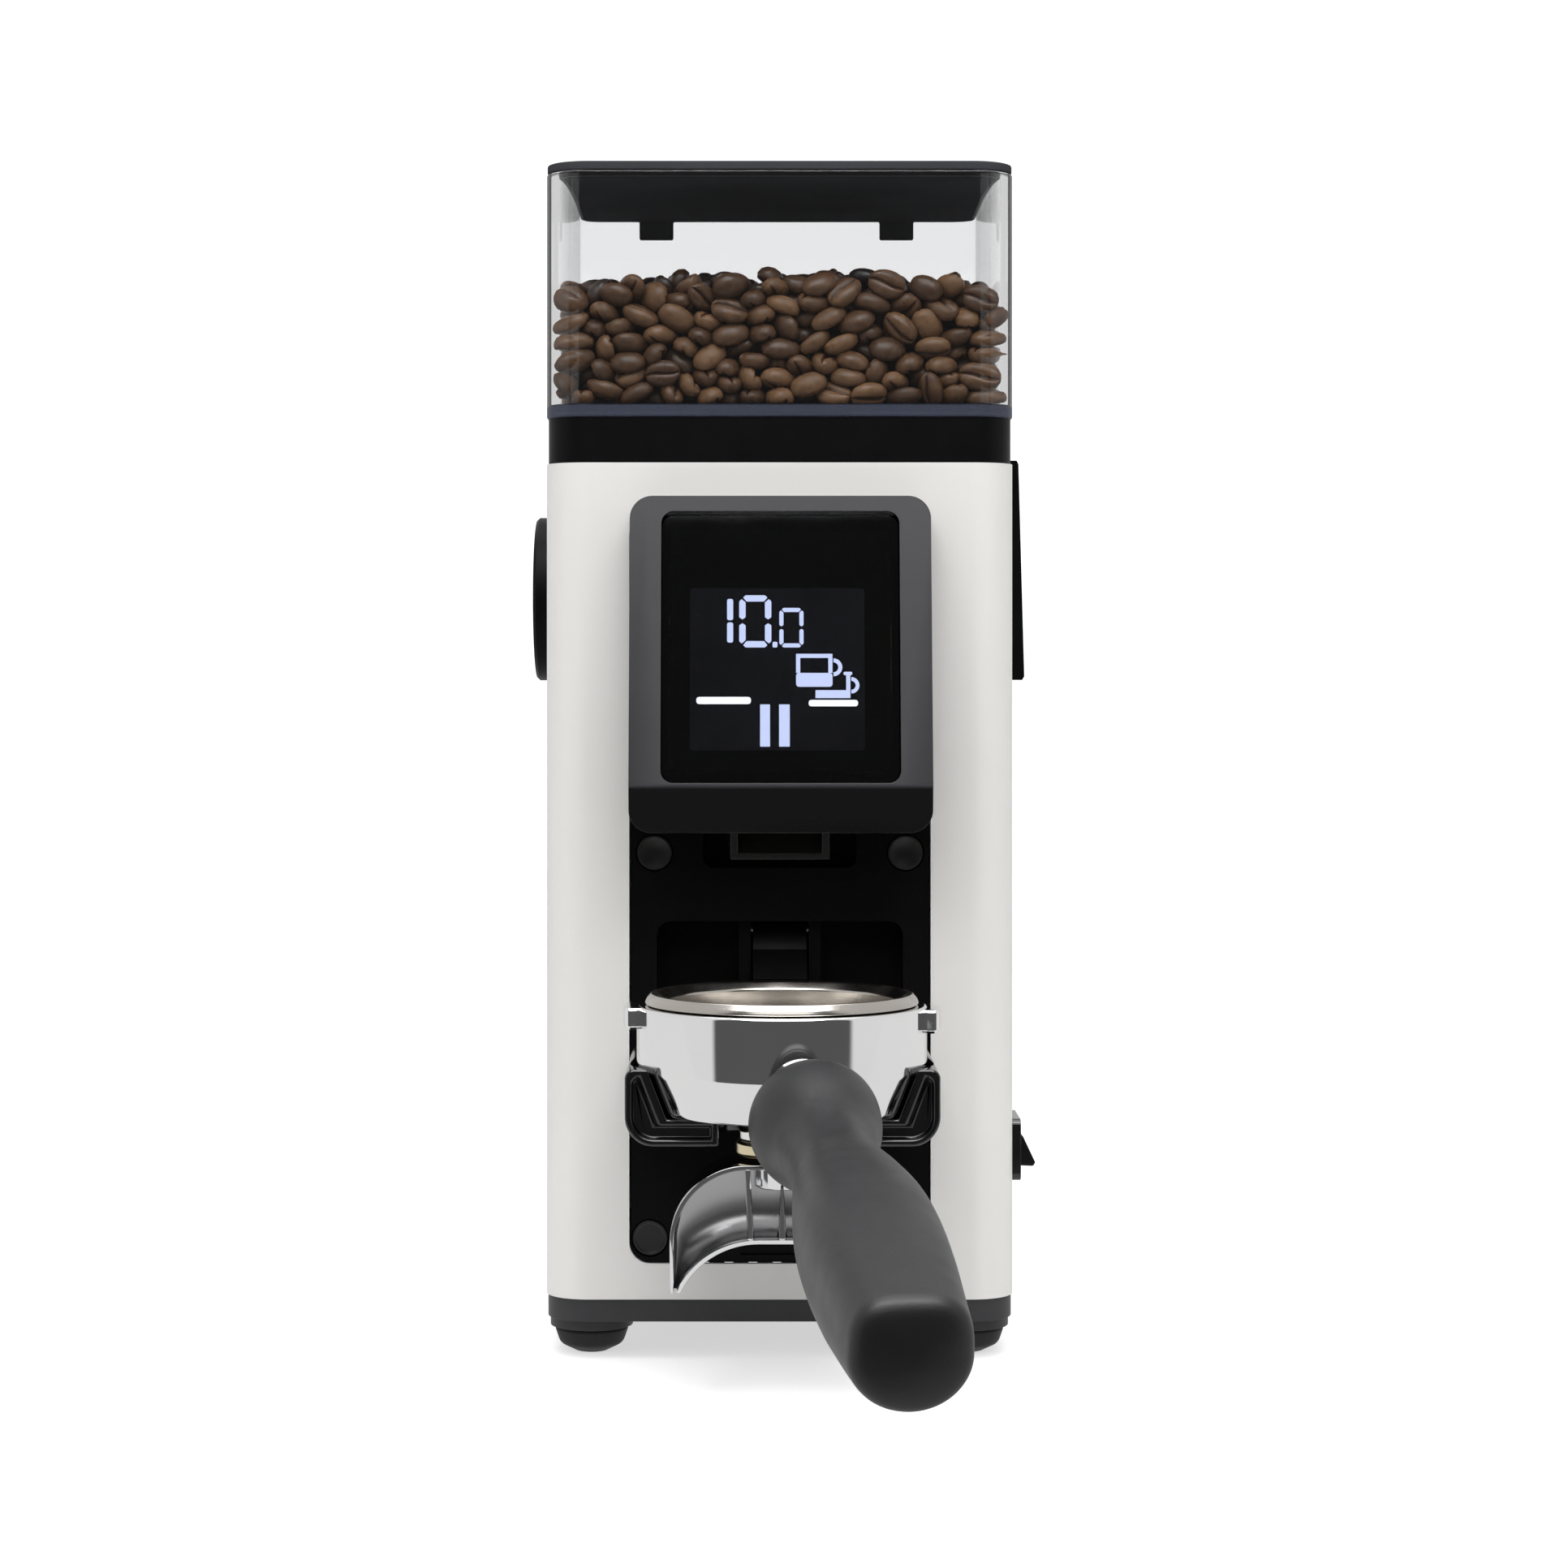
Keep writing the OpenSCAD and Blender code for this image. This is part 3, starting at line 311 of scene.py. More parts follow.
def brushed(name, colour, rough, stretch, **sockets):
    """Steel with fine lines along one axis."""
    s = Shader(name, colour, rough, 1.0, **sockets)
    lines = s.noise(900, 4, stretch=stretch)
    s.to("Roughness", s.range(lines, rough - 0.07, rough + 0.09))
    s.to("Base Color", s.ramp(s.noise(60, 3), [(0.3, shade(colour, 0.93)),
                                               (0.7, shade(colour, 1.05))]))
    s.bump(lines, 0.004)
    return s


def chrome():
    s = Shader("chrome", (0.90, 0.90, 0.905), 0.06, 1.0)
    s.to("Roughness", s.range(s.noise(40, 4), 0.035, 0.10))
    s.to("Base Color", s.ramp(s.noise(25, 3), [(0.3, (0.87, 0.87, 0.88)),
                                               (0.7, (0.93, 0.925, 0.92))]))
    s.bump(s.noise(22, 2), 0.015)
    return s


def chrome_cast():
    """Chrome with polished ribs round a trough that is rougher and darker."""
    s = chrome()
    s.slot = "chrome_cast"
    trough = s.attribute("trough")
    s.to("Roughness", s.range(trough, 0.06, 0.26, 0.0, 1.0))
    s.to("Base Color", s.ramp(trough, [(0.0, (0.90, 0.90, 0.905)),
                                       (1.0, (0.42, 0.42, 0.425))]))
    return s


def copper_windings():
    s = Shader("motor_copper", (0.62, 0.26, 0.10), 0.3, 1.0)
    turns = s.bands(480, "Z", 1.2)
    s.to("Base Color", s.ramp(turns, [(0.1, (0.18, 0.06, 0.02)), (0.6, (0.66, 0.28, 0.11))]))
    s.bump(turns, 0.4)
    return s


def circuit_board():
    """Green board with pale tracks, laid out on its upright plane."""
    s = Shader("circuit_board", (0.02, 0.14, 0.06), 0.34)
    upright = s.node("ShaderNodeMapping", s.coords(), None, (pi / 2, 0, 0)).outputs[0]
    board, other_board, track = (0.02, 0.13, 0.055), (0.025, 0.16, 0.07), (0.10, 0.34, 0.16)
    bricks = s.node("ShaderNodeTexBrick", upright, (*board, 1), (*other_board, 1),
                    (*track, 1), 130)
    for socket, value in (("Mortar Size", 0.03), ("Brick Width", 0.9), ("Row Height", 0.22)):
        bricks.inputs[socket].default_value = value
    s.to("Base Color", bricks.outputs[0])
    s.bump(bricks.outputs[1], 0.03)
    return s


def laminated():
    s = Shader("transformer_tape", (0.50, 0.36, 0.08), 0.45)
    layers = s.bands(260, "X")
    s.to("Base Color", s.ramp(layers, [(0.1, (0.32, 0.21, 0.04)), (0.5, (0.56, 0.40, 0.09))]))
    s.bump(layers, 0.05)
    return s


def lit(name, colour, strength):
    """Ink that glows evenly, with the faint unevenness of a backlight."""
    s = Shader(name, colour, 0.4)
    s.set("Emission Color", (*colour, 1))
    s.set("Emission Strength", strength)
    s.to("Base Color", s.ramp(s.noise(300, 2), [(0.3, shade(colour, 0.94)), (0.7, colour)]))
    return s


# one for each material slot of the CAD, then those that only scene.py's pieces wear
SHADERS = [
    body_paint(),
    surface("black_trim", (0.0024, 0.0024, 0.0027), 0.42, vary=0.10, grain=2200,
            depth=0.018, Specular_IOR_Level=0.09),
    display_frame(),
    smoked_glass(),
    screen(),
    surface("fork_gloss", (0.0020, 0.0020, 0.0024), 0.12, vary=0.12, patch=30, grain=60,
            depth=0.02, Specular_IOR_Level=0.75),
    surface("spout_plastic", (0.075, 0.066, 0.058), 0.16, vary=0.10, patch=60, grain=200,
            depth=0.02),
    clear_plastic(),
    coffee_beans(),
    surface("dark_parts", (0.010, 0.010, 0.011), 0.40, vary=0.08, grain=1900, depth=0.02,
            Specular_IOR_Level=0.3),
    surface("seal_rubber", (0.014, 0.014, 0.015), 0.60, vary=0.12, patch=90, grain=1400,
            depth=0.03, Specular_IOR_Level=0.3),
    surface("handle_grip", (0.0090, 0.0090, 0.0100), 0.44, vary=0.07, patch=35, grain=1500,
            depth=0.03, Specular_IOR_Level=0.42),
    chrome(),
    surface("basket_steel", (0.52, 0.49, 0.45), 0.20, 1.0, vary=0.04, grain=2600,
            depth=0.004, turned=(0, 0)),
    surface("brass", (0.80, 0.70, 0.47), 0.20, 1.0, vary=0.05, grain=2200, depth=0.004,
            turned=(0, 0)),
    surface("plain_steel", (0.58, 0.58, 0.60), 0.30, 1.0, vary=0.08, patch=110,
            grain=1200, depth=0.008),
    brushed("burr_steel", (0.36, 0.36, 0.38), 0.28, (1, 12, 1)),
    surface("cast_aluminium", (0.60, 0.60, 0.61), 0.42, 1.0, vary=0.07, patch=70,
            spread=0.08, grain=520, depth=0.10),
    surface("ring_brass", (0.62, 0.46, 0.20), 0.26, 1.0, vary=0.06, grain=1800,
            depth=0.008, turned=(0, 108)),
    brushed("dial_steel", (0.55, 0.55, 0.57), 0.24, (14, 1, 1)),
    copper_windings(),
    circuit_board(),
    surface("component_blue", (0.03, 0.07, 0.26), 0.28, vary=0.10, patch=80, grain=500,
            depth=0.02),
    laminated(),
    surface("terminal_plastic", (0.70, 0.67, 0.58), 0.40, vary=0.05, patch=80),
    surface("button_red", (0.42, 0.015, 0.015), 0.34, vary=0.08, patch=150),
    surface("lid_grain", (0.045, 0.046, 0.051), 0.62, vary=0.08, grain=1700, depth=0.03,
            Specular_IOR_Level=0.0),
    surface("base_paint", (0.036, 0.036, 0.038), 0.45, vary=0.08, grain=1900, depth=0.02,
            Specular_IOR_Level=0.3),
    chrome_cast(),
    surface("cap_plastic", (0.0085, 0.0085, 0.009), 0.38, vary=0.08, grain=1900,
            depth=0.015, Specular_IOR_Level=0.4),
    surface("outlet_gloss", (0.014, 0.0135, 0.013), 0.13, vary=0.10, patch=60, grain=200,
            depth=0.02, Specular_IOR_Level=0.7),
    lit("screen_light", (0.70, 0.77, 1.0), 2.7),
    lit("screen_white", (1.0, 1.0, 1.0), 3.4),
    surface("screen_window", (0.068, 0.067, 0.071), 0.35, vary=0.15, patch=40, grain=900,
            depth=0.002, Specular_IOR_Level=0.05),
]
MATERIAL = {s.slot: s.mat for s in SHADERS}
SLOT_OF = {p["node"]: p["material_slot"] for p in frame["record"]["subparts"]}


# -------- mesh helpers


def add_piece(name, mesh, slot, body, replaced=(), material=None, sharp=35.0, even=False):
    """Puts a mesh in the scene as a piece on a body, smooth up to the sharp angle."""
    for polygon in mesh.polygons:
        polygon.use_smooth = True
    mesh.set_sharp_from_angle(angle=radians(sharp))
    mesh.materials.clear()
    mesh.materials.append(MATERIAL[material or slot])
    piece = bpy.data.objects.new(name, mesh)
    SCENE.collection.objects.link(piece)
    if even:
        piece.modifiers.new("weighted", "WEIGHTED_NORMAL").keep_sharp = True
    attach(piece, body)
    if replaced:
        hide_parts(*replaced)
    return piece


def new_mesh(name, verts, faces):
    """Mesh from millimetre points, faces turned outwards."""
    mesh = bpy.data.meshes.new(name)
    mesh.from_pydata([tuple(c * MM for c in v) for v in verts], [], faces)
    build = bmesh.new()
    build.from_mesh(mesh)
    bmesh.ops.recalc_face_normals(build, faces=build.faces)
    build.to_mesh(mesh)
    build.free()
    return mesh


class Solid:
    """Collects shells in millimetres and turns them into one mesh."""

    def __init__(self):
        self.verts, self.faces = [], []

    def add(self, verts, faces, place=None):
        start = len(self.verts)
        self.verts += [tuple(place @ Vector(v)) if place else tuple(v) for v in verts]
        self.faces += [tuple(i + start for i in f) for f in faces]
        return self

    def loft(self, rings, place=None):
        """Skin over rings of equal length, with a cap at each end."""
        count = len(rings[0])
        last = (len(rings) - 1) * count
        faces = []
        for a in range(0, last, count):
            b = a + count
            for i in range(count):
                j = (i + 1) % count
                faces.append((a + i, a + j, b + j, b + i))
        faces.append(tuple(range(count)))
        faces.append(tuple(range(last, last + count)))
        return self.add([p for ring in rings for p in ring], faces, place)

    def lathe(self, profile, place=None, segments=96):
        """Solid of revolution from (radius, height) points, a closed section or one
        that starts and ends on the axis."""
        on_axis = profile[0][0] < 1e-6 and profile[-1][0] < 1e-6
        inner = profile[1:-1] if on_axis else profile
        verts, faces = [], []
        for r, z in inner:
            verts += [(r * cos(2 * pi * k / segments), r * sin(2 * pi * k / segments), z)
                      for k in range(segments)]
        rows = len(inner)
        for a in range(rows if not on_axis else rows - 1):
            b = (a + 1) % rows
            for k in range(segments):
                m = (k + 1) % segments
                faces.append((a * segments + k, a * segments + m,
                              b * segments + m, b * segments + k))
        if on_axis:
            verts += [(0, 0, profile[0][1]), (0, 0, profile[-1][1])]
            low, high = rows * segments, rows * segments + 1
            for k in range(segments):
                m = (k + 1) % segments
                faces.append((low, m, k))
                faces.append((high, (rows - 1) * segments + k, (rows - 1) * segments + m))
        return self.add(verts, faces, place)

    def piece(self, name, slot, body, replaced=(), **more):
        return add_piece(name, new_mesh(name, self.verts, self.faces), slot, body,
                         replaced, **more)


def fillet(points, steps=5):
    """Polyline through (x, y, radius) corners with each corner rounded to its radius."""
    made = []
    for k, (x, y, r) in enumerate(points):
        if r <= 0:
            made.append((x, y))
            continue
        px, py, _ = points[k - 1]
        nx, ny, _ = points[(k + 1) % len(points)]
        a, b = Vector((px - x, py - y)), Vector((nx - x, ny - y))
        half = a.angle(b) / 2
        if abs(half - pi / 2) < 1e-4:    # the line runs straight on
            made.append((x, y))
            continue
        back = min(r / max(abs(sin(half) / cos(half)), 1e-6), a.length * 0.5, b.length * 0.5)
        corner = Vector((x, y))
        start = corner + a.normalized() * back
        end = corner + b.normalized() * back
        for i in range(steps + 1):
            t = i / steps
            p = start * (1 - t) ** 2 + corner * 2 * t * (1 - t) + end * t * t
            made.append((p.x, p.y))
    return made


def smooth_path(points, per_span=6):
    """Catmull-Rom curve through 2D points."""
    pts = [Vector(p) for p in points]
    pts = [2 * pts[0] - pts[1]] + pts + [2 * pts[-1] - pts[-2]]
    made = []
    for k in range(1, len(pts) - 2):
        p0, p1, p2, p3 = pts[k - 1:k + 3]
        for i in range(per_span):
            t = i / per_span
            made.append(0.5 * (2 * p1 + (p2 - p0) * t + (2 * p0 - 5 * p1 + 4 * p2 - p3) * t * t
                               + (3 * p1 - p0 - 3 * p2 + p3) * t ** 3))
    made.append(pts[-2])
    return [tuple(p) for p in made]


def round_edges(build, angle, radius, segments, held=True):
    """Bevels the edges sharper than the angle. A held bevel is narrowed where a small
    facet would fold over."""
    edges = [e for e in build.edges
             if e.is_manifold and e.calc_face_angle() > radians(angle)]
    bmesh.ops.bevel(build, geom=edges, offset=radius * MM, offset_type="OFFSET",
                    segments=segments, profile=0.5, affect="EDGES", clamp_overlap=held)


def refined(node, radius):
    """A CAD node's shape with its flat faces merged and its edges rounded."""
    build = bmesh.new()
    build.from_mesh(NODES[node].data)
    bmesh.ops.remove_doubles(build, verts=build.verts, dist=2e-6)
    bmesh.ops.dissolve_limit(build, angle_limit=radians(0.8), verts=build.verts,
                             edges=build.edges)
    round_edges(build, 32, radius, 2, held=node != "fork")    # the fork's facets are large
    # a bevel may push a corner just past the box of the CAD node
    low, high = (corner * MM for corner in node_box(node))
    for v in build.verts:
        v.co = [min(max(c, a), b) for c, a, b in zip(v.co, low, high)]
    name = node + "_finished"
    mesh = bpy.data.meshes.new(name)
    build.to_mesh(mesh)
    build.free()
    return add_piece(name, mesh, SLOT_OF[node], NODES[node]["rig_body"], (node,),
                     even=True, sharp=50, material=FINISH.get(node))


# -------- moulded and pressed parts

# bevel asked for on each CAD shape, which its small facets may hold narrower
EDGE_RADIUS = {
    "housing_shell": 0.35, "base_plate": 0.5, "top_collar": 0.6, "rear_panel": 0.35,
    "cord_gland": 0.5, "front_panel": 0.4, "display_housing": 1.8, "fork": 0.7,
    "outlet_spout": 0.9, "adjust_dial": 0.35, "latch_lever": 0.4, "power_rocker": 0.4,
    "switch_bezel": 0.35, "dosing_paddle": 0.3, "hopper_gate": 0.4, "hopper": 0.6,
    "lid": 0.5,
}
# nodes that look different from others in their slot
FINISH = {"lid": "lid_grain", "base_plate": "base_paint", "dosing_paddle": "black_trim",
          "outlet_spout": "outlet_gloss"}
for part, radius in EDGE_RADIUS.items():
    refined(part, radius)


# -------- feet and caps


def rubber_feet():
    """Turned feet, one near each corner, with a spigot that goes up into the base."""
    low, high = node_box("rubber_feet")
    inset = 10
    feet = Solid()
    profile = fillet([(0, 0, 0), (4.2, 0, 1.5), (8.6, 2.2, 3), (9.9, 6.0, 0.6),
                      (9.6, 6.6, 0.3), (9.6, 7, 0), (3, 7, 0), (3, 11.6, 0.3), (0, 11.8, 0)])
    profile[0], profile[-1] = (0, 0), (0, 11.8)
    for x in (low.x + inset, high.x - inset):
        for y in (low.y + inset, high.y - inset):
            feet.lathe(profile, Matrix.Translation((x, y, 0)), 64)
    feet.piece("rubber_feet_turned", "seal_rubber", "machine", ("rubber_feet",))


def panel_caps():
    """Four round caps in the front panel: the upper two dished, the lower two flat."""
    low, high = node_box("panel_caps")
    r, dish, dish_r = 4.65, 0.95, 4.1
    depth = high.y - low.y
    dished = [(x, dish * (1 - (x / dish_r) ** 2), 0) for x in (0, 0.8, 1.6, 2.4, 3.2, 3.8)]
    flat = [(0, 0.25, 0), (3.6, 0.25, 0.2)]
    caps = Solid()
    turn = Matrix.Rotation(-pi / 2, 4, "X")
    upper_x, lower_x = 33.6, high.x - r
    for sx in (-1, 1):
        for x, z, face in ((upper_x, high.z - r, dished), (lower_x, low.z + r, flat)):
            rim = face + [(4.15, 0, 0.12), (r, 0, 0.35), (r, depth, 0), (0, depth, 0)]
            caps.lathe(fillet(rim, 3), Matrix.Translation((sx * x, low.y, z)) @ turn, 64)
    caps.piece("panel_caps_turned", "black_trim", "machine", ("panel_caps",),
               material="cap_plastic")


rubber_feet()
panel_caps()


# -------- display

INK_DEPTH = 3.14    # how far the lit figures lie behind the face


def on_face(x, z, depth):
    """Point on the tilted display face: x across, z up, depth in behind the face."""
    up = z - FACE_Z
    return (x, FACE_Y + depth * cos(TILT) + up * sin(TILT),
            FACE_Z - depth * sin(TILT) + up * cos(TILT))


def ink(shapes, name, finish):
    """Flat lit figures between the glass and the screen module."""
    solid = Solid()
    for outline in shapes:
        solid.loft([[on_face(x, z, d) for x, z in outline]
                    for d in (INK_DEPTH - 0.02, INK_DEPTH + 0.02)])
    solid.piece(name, "screen", "machine", material=finish)


def bar(x0, z0, x1, z1, r=0.0):
    """Rectangle from its low to its high corner, with round corners if r is given."""
    if not r:
        return [(x0, z0), (x1, z0), (x1, z1), (x0, z1)]
    return fillet([(x0, z0, r), (x1, z0, r), (x1, z1, r), (x0, z1, r)], 4)


def zero(x0, z0, x1, z1, t):
    """Seven-segment nought with cut corners: pointed bars, broken at half height."""
    middle, gap = (z0 + z1) / 2, t * 0.30
    shapes = []
    for z, way in ((z0, 1), (z1, -1)):
        shapes.append([(x0 + t, z), (x1 - t, z), (x1 - 0.62 * t, z + way * 0.38 * t),
                       (x1 - 1.15 * t, z + way * t), (x0 + 1.15 * t, z + way * t),
                       (x0 + 0.62 * t, z + way * 0.38 * t)])
        for x, side in ((x0, 1), (x1, -1)):
            shapes.append([(x, z + way * t), (x + side * 0.38 * t, z + way * 0.62 * t),
                           (x + side * t, z + way * 1.15 * t),
                           (x + side * t, middle - way * (gap + t * 0.35)),
                           (x + side * t * 0.5, middle - way * gap),
                           (x, middle - way * (gap + t * 0.35))])
    return shapes


def arc_band(cx, cz, r0, r1, a0, a1, steps=12):
    """Bent bar between two radii and two angles in degrees."""
    angles = [radians(a0 + (a1 - a0) * k / steps) for k in range(steps + 1)]
    return ([(cx + r1 * cos(a), cz + r1 * sin(a)) for a in angles]
            + [(cx + r0 * cos(a), cz + r0 * sin(a)) for a in reversed(angles)])


def screen_figures():
    """The dose in seconds, two cups, and the bars that mark the buttons below them."""
    blue = [bar(-14.1, 198.9, -12.5, 204.6, 0.6), bar(-14.1, 192.9, -12.5, 198.3, 0.6)]
    blue += zero(-10.9, 191.6, -2.4, 205.6, 1.7)
    blue.append(bar(-2.1, 191.6, -0.8, 193.1, 0.4))
    blue += zero(-0.3, 191.6, 6.1, 202.2, 1.1)
    # front cup: rim, walls, filled foot and handle
    blue += [bar(4.1, 188.8, 13.7, 189.9), bar(4.1, 184.8, 5.2, 188.8),
             bar(12.6, 184.8, 13.7, 188.8), bar(4.1, 181.1, 13.7, 184.8, 0.9)]
    blue.append(arc_band(13.9, 186.3, 1.35, 2.4, -88, 88))
    # second cup, half hidden behind the first one
    blue += [bar(9.2, 178.1, 18.4, 180.2), bar(17.3, 180.2, 18.4, 184.2),
             bar(16.6, 184.2, 18.9, 185.1, 0.4)]
    blue.append(arc_band(18.6, 181.5, 1.2, 2.2, -88, 88))
    blue += [bar(-5.4, 165.2, -2.8, 176.4), bar(-0.4, 165.2, 2.4, 176.4)]
    ink(blue, "display_figures", "screen_light")
    ink([bar(-22.2, 176.5, -7.8, 178.4, 0.9), bar(7.4, 175.9, 20.4, 177.6, 0.8)],
        "display_bars", "screen_white")


def screen_window():
    """The screen's active area, a shade lighter than the glass round it."""
    window = Solid()
    outline = bar(-23.9, 164.2, 22.2, 207.5, 1.0)
    window.loft([[on_face(x, z, d) for x, z in outline] for d in (3.165, 3.19)])
    window.piece("display_window", "screen", "machine", material="screen_window")


screen_window()
screen_figures()


# -------- filter holder

HANDLE_Z, HANDLE_YAW, HANDLE_DROOP = 88.7, radians(7.3), radians(11.5)
ON_HANDLE = (Matrix.Translation((0, 0, HANDLE_Z)) @ Matrix.Rotation(HANDLE_YAW, 4, "Z")
             @ Matrix.Rotation(pi / 2 + HANDLE_DROOP, 4, "X"))


def holder_body():
    """Turned cup with its stub below and the neck that carries the handle."""
    chrome_body = Solid()
    outer = [(0, 55.2, 0), (5.8, 55.2, 0.4), (5.8, 65.7, 0), (11.0, 65.7, 0.3),
             (11.3, 72.6, 0.4), (33.3, 72.6, 2.6), (37.0, 83.4, 3.5), (37.0, 99.6, 0.9),
             (31.3, 99.6, 0.9), (31.2, 75.2, 1.5), (3.0, 75.0, 0.6), (3.0, 55.4, 0)]
    chrome_body.lathe(fillet(outer, 6)[1:], segments=144)
    boss = fillet([(0, 30, 0), (8.5, 30, 0), (8.5, 43.6, 1.0), (4.9, 44, 0.2), (4.9, 63.8, 0),
                   (0, 63.8, 0)], 4)
    chrome_body.lathe(boss, ON_HANDLE, 64)
    chrome_body.piece("holder_chrome", "chrome", "filter_holder", ("holder_body",))


def holder_ears():
    """The two lugs that hold the body in the fork, cast with soft edges."""
    lugs = Solid()
    low, high, inner, outer = 94, 99.6, 35.6, 40.5
    for side, drop, early, late in ((0, 1.0, -14.5, 11), (pi, 0.0, -11, 14.5)):
        rings = []
        for k in range(9):
            a = side + radians(early + (late - early) * k / 8)
            rings.append([(r * cos(a), r * sin(a), z)
                          for r, z in ((inner, low - drop), (outer, low - drop),
                                       (outer, high - drop / 2), (inner, high - drop / 2))])
        lugs.loft(rings)
    mesh = new_mesh("holder_ears_cast", lugs.verts, lugs.faces)
    build = bmesh.new()
    build.from_mesh(mesh)
    round_edges(build, 50, 1.1, 4)
    build.to_mesh(mesh)
    build.free()
    add_piece("holder_ears_cast", mesh, "chrome", "filter_holder", even=True, sharp=50)


def filter_basket():
    """Pressed basket: rolled rim, straight wall with one locating groove, and its floor."""
    inner = 29.5
    section = fillet([
        (0, 77.6, 0), (24.5, 77.6, 2.5), (29.4, 80.5, 2.0), (29.9, 90.2, 0.5),
        (30.2, 90.9, 0.5), (29.9, 91.6, 0.5), (30.2, 99.2, 0.5), (34.2, 99.75, 0.6),
        (34.95, 100.1, 0.5), (34.5, 101.2, 1.0), (33.3, 102.65, 0.7), (31.6, 102.4, 1.2),
        (inner + 0.2, 100.6, 1.2), (inner - 0.2, 91.9, 0.4), (inner + 0.1, 90.9, 0.5),
        (inner - 0.2, 89.9, 0.4), (28.8, 81.0, 2.0), (24.3, 78.35, 2.5), (0, 78.35, 0)], 5)
    basket = Solid().lathe(section, segments=144)
    basket.piece("basket_pressed", "basket_steel", "filter_holder", ("filter_basket",))


def spout_nut():
    """Brass ring nut under the body."""
    nut = Solid()
    profile = fillet([(6.05, 61.3, 0.2), (11.0, 61.3, 0.7), (11.75, 62.2, 0.5),
                      (11.75, 64.5, 0.5), (11.1, 65.35, 0.7), (6.05, 65.35, 0.2)], 4)
    nut.lathe(profile, segments=96)
    nut.piece("spout_nut_turned", "brass", "filter_holder", ("spout_nut",))


def resample(points, count):
    """The polyline's points, evenly spaced along its length."""
    pts = np.array(points, float)
    steps = np.r_[0, np.cumsum(np.linalg.norm(np.diff(pts, axis=0), axis=1))]
    at = np.linspace(0, steps[-1], count)
    return np.c_[np.interp(at, steps, pts[:, 0]), np.interp(at, steps, pts[:, 1])]


def spout_section(height, half):
    """Section of an arm, as (fraction up, y): an I shape with a filleted trough on each
    side. height is the arm's height here and half is half its depth."""
    t = min(1.4, height * 0.36)
    web = min(2.5, half * 0.8)
    bowl = min(7.0, (height - 2 * t) * 0.8)
    inner = half - 0.55
    front = [(0.55, -half), (t - 0.3, -half), (t, -inner)]
    for k in range(1, 9):
        a = pi / 2 * k / 8
        front.append((t + bowl * (1 - cos(a)), -web - (inner - web) * (1 - sin(a))))
    front += [(height - t - min(1.0, bowl * 0.2), -web), (height - t - 0.2, -web - 0.5),
              (height - t, -web - 1.2), (height - t, -inner), (height - t + 0.3, -half),
              (height - 0.5, -half), (height - 0.12, -half + 0.15), (height, -inner)]
    lip = [(0.0, -inner), (0.12, -half + 0.2)]
    half_loop = lip + front
    return half_loop + [(h, -y) for h, y in reversed(half_loop)]


def twin_spout():
    """Two-armed spout lofted from its left tip over the middle to its right tip."""
    shoulder_r, reach, top, tip = 19.7, 28.4, 60.0, 27.6
    cx, cz = reach - shoulder_r, top - shoulder_r
    outer = [(0, top), (cx, top)] + [
        (cx + shoulder_r * sin(radians(a)), cz + shoulder_r * cos(radians(a)))
        for a in range(5, 91, 5)] + [(reach, tip)]
    arch_r, arch_x, arch_z = 22.0, 6.0, 18.0
    arch = [(0, arch_z + arch_r), (arch_x, arch_z + arch_r)]
    for a in range(4, 65, 4):
        x, z = arch_x + arch_r * sin(radians(a)), arch_z + arch_r * cos(radians(a))
        if z > tip + 0.3:
            arch.append((x, z))
    arch.append((arch_x + sqrt(arch_r ** 2 - (tip - arch_z) ** 2), tip))
    count = 44
    top_line, low_line = resample(outer, count), resample(arch, count)
    rings, troughs = [], []
    for k in list(range(count - 1, 0, -1)) + list(range(count)):
        side = -1 if len(rings) < count - 1 else 1
        hi, lo = Vector(top_line[k]), Vector(low_line[k])
        height = (hi - lo).length
        near_tip = max(0.0, (k - count + 6) / 5)
        half = 10.5 - 1.2 * near_tip ** 2
        ring = []
        for h, y in spout_section(height, half):
            p = lo + (hi - lo) * (h / height)
            ring.append((side * p.x, y, p.y))
            troughs.append(1.0 if abs(y) < half - 1.2 and 1.0 < h < height - 1.0 else 0.0)
        rings.append(ring)
    spout = Solid().loft(rings)
    # ribs across the trough, as (x and half width at the foot and at the head, head z)
    ribs = ((-8.0, 0.9, -8.8, 0.7, 58.9), (8.0, 0.9, 8.8, 0.7, 58.9), (0, 1.2, 0, 0.4, 54.0))
    for front in (-1, 1):
        for x_low, w_low, x_high, w_high, top_z in ribs:
            rib = []
            for z, x, w, reach_y in ((40.6, x_low, w_low * 1.25, 9.9), (42.6, x_low, w_low, 9.7),
                                     ((42 + top_z) / 2, (x_low + x_high) / 2,
                                      (w_low + w_high) / 2, 9.6),
                                     (top_z, x_high, w_high, 9.6)):
                y1 = front * reach_y
                y0 = front * 2.2
                rib.append([(x - w, y0, z), (x + w, y0, z), (x + w, y1 - front * w * 0.7, z),
                            (x + w * 0.55, y1, z), (x - w * 0.55, y1, z),
                            (x - w, y1 - front * w * 0.7, z)])
            spout.loft(rib)
    neck = fillet([(0, 53.0, 0), (7.6, 53.0, 1.0), (7.6, 59.6, 0), (0, 59.6, 0)], 3)
    spout.lathe(neck, segments=64)
    piece = spout.piece("twin_spout_cast", "chrome", "filter_holder", ("twin_spout",),
                        material="chrome_cast", sharp=40)
    layer = piece.data.attributes.new("trough", "FLOAT", "POINT")
    troughs += [0.0] * (len(spout.verts) - len(troughs))
    layer.data.foreach_set("value", troughs)


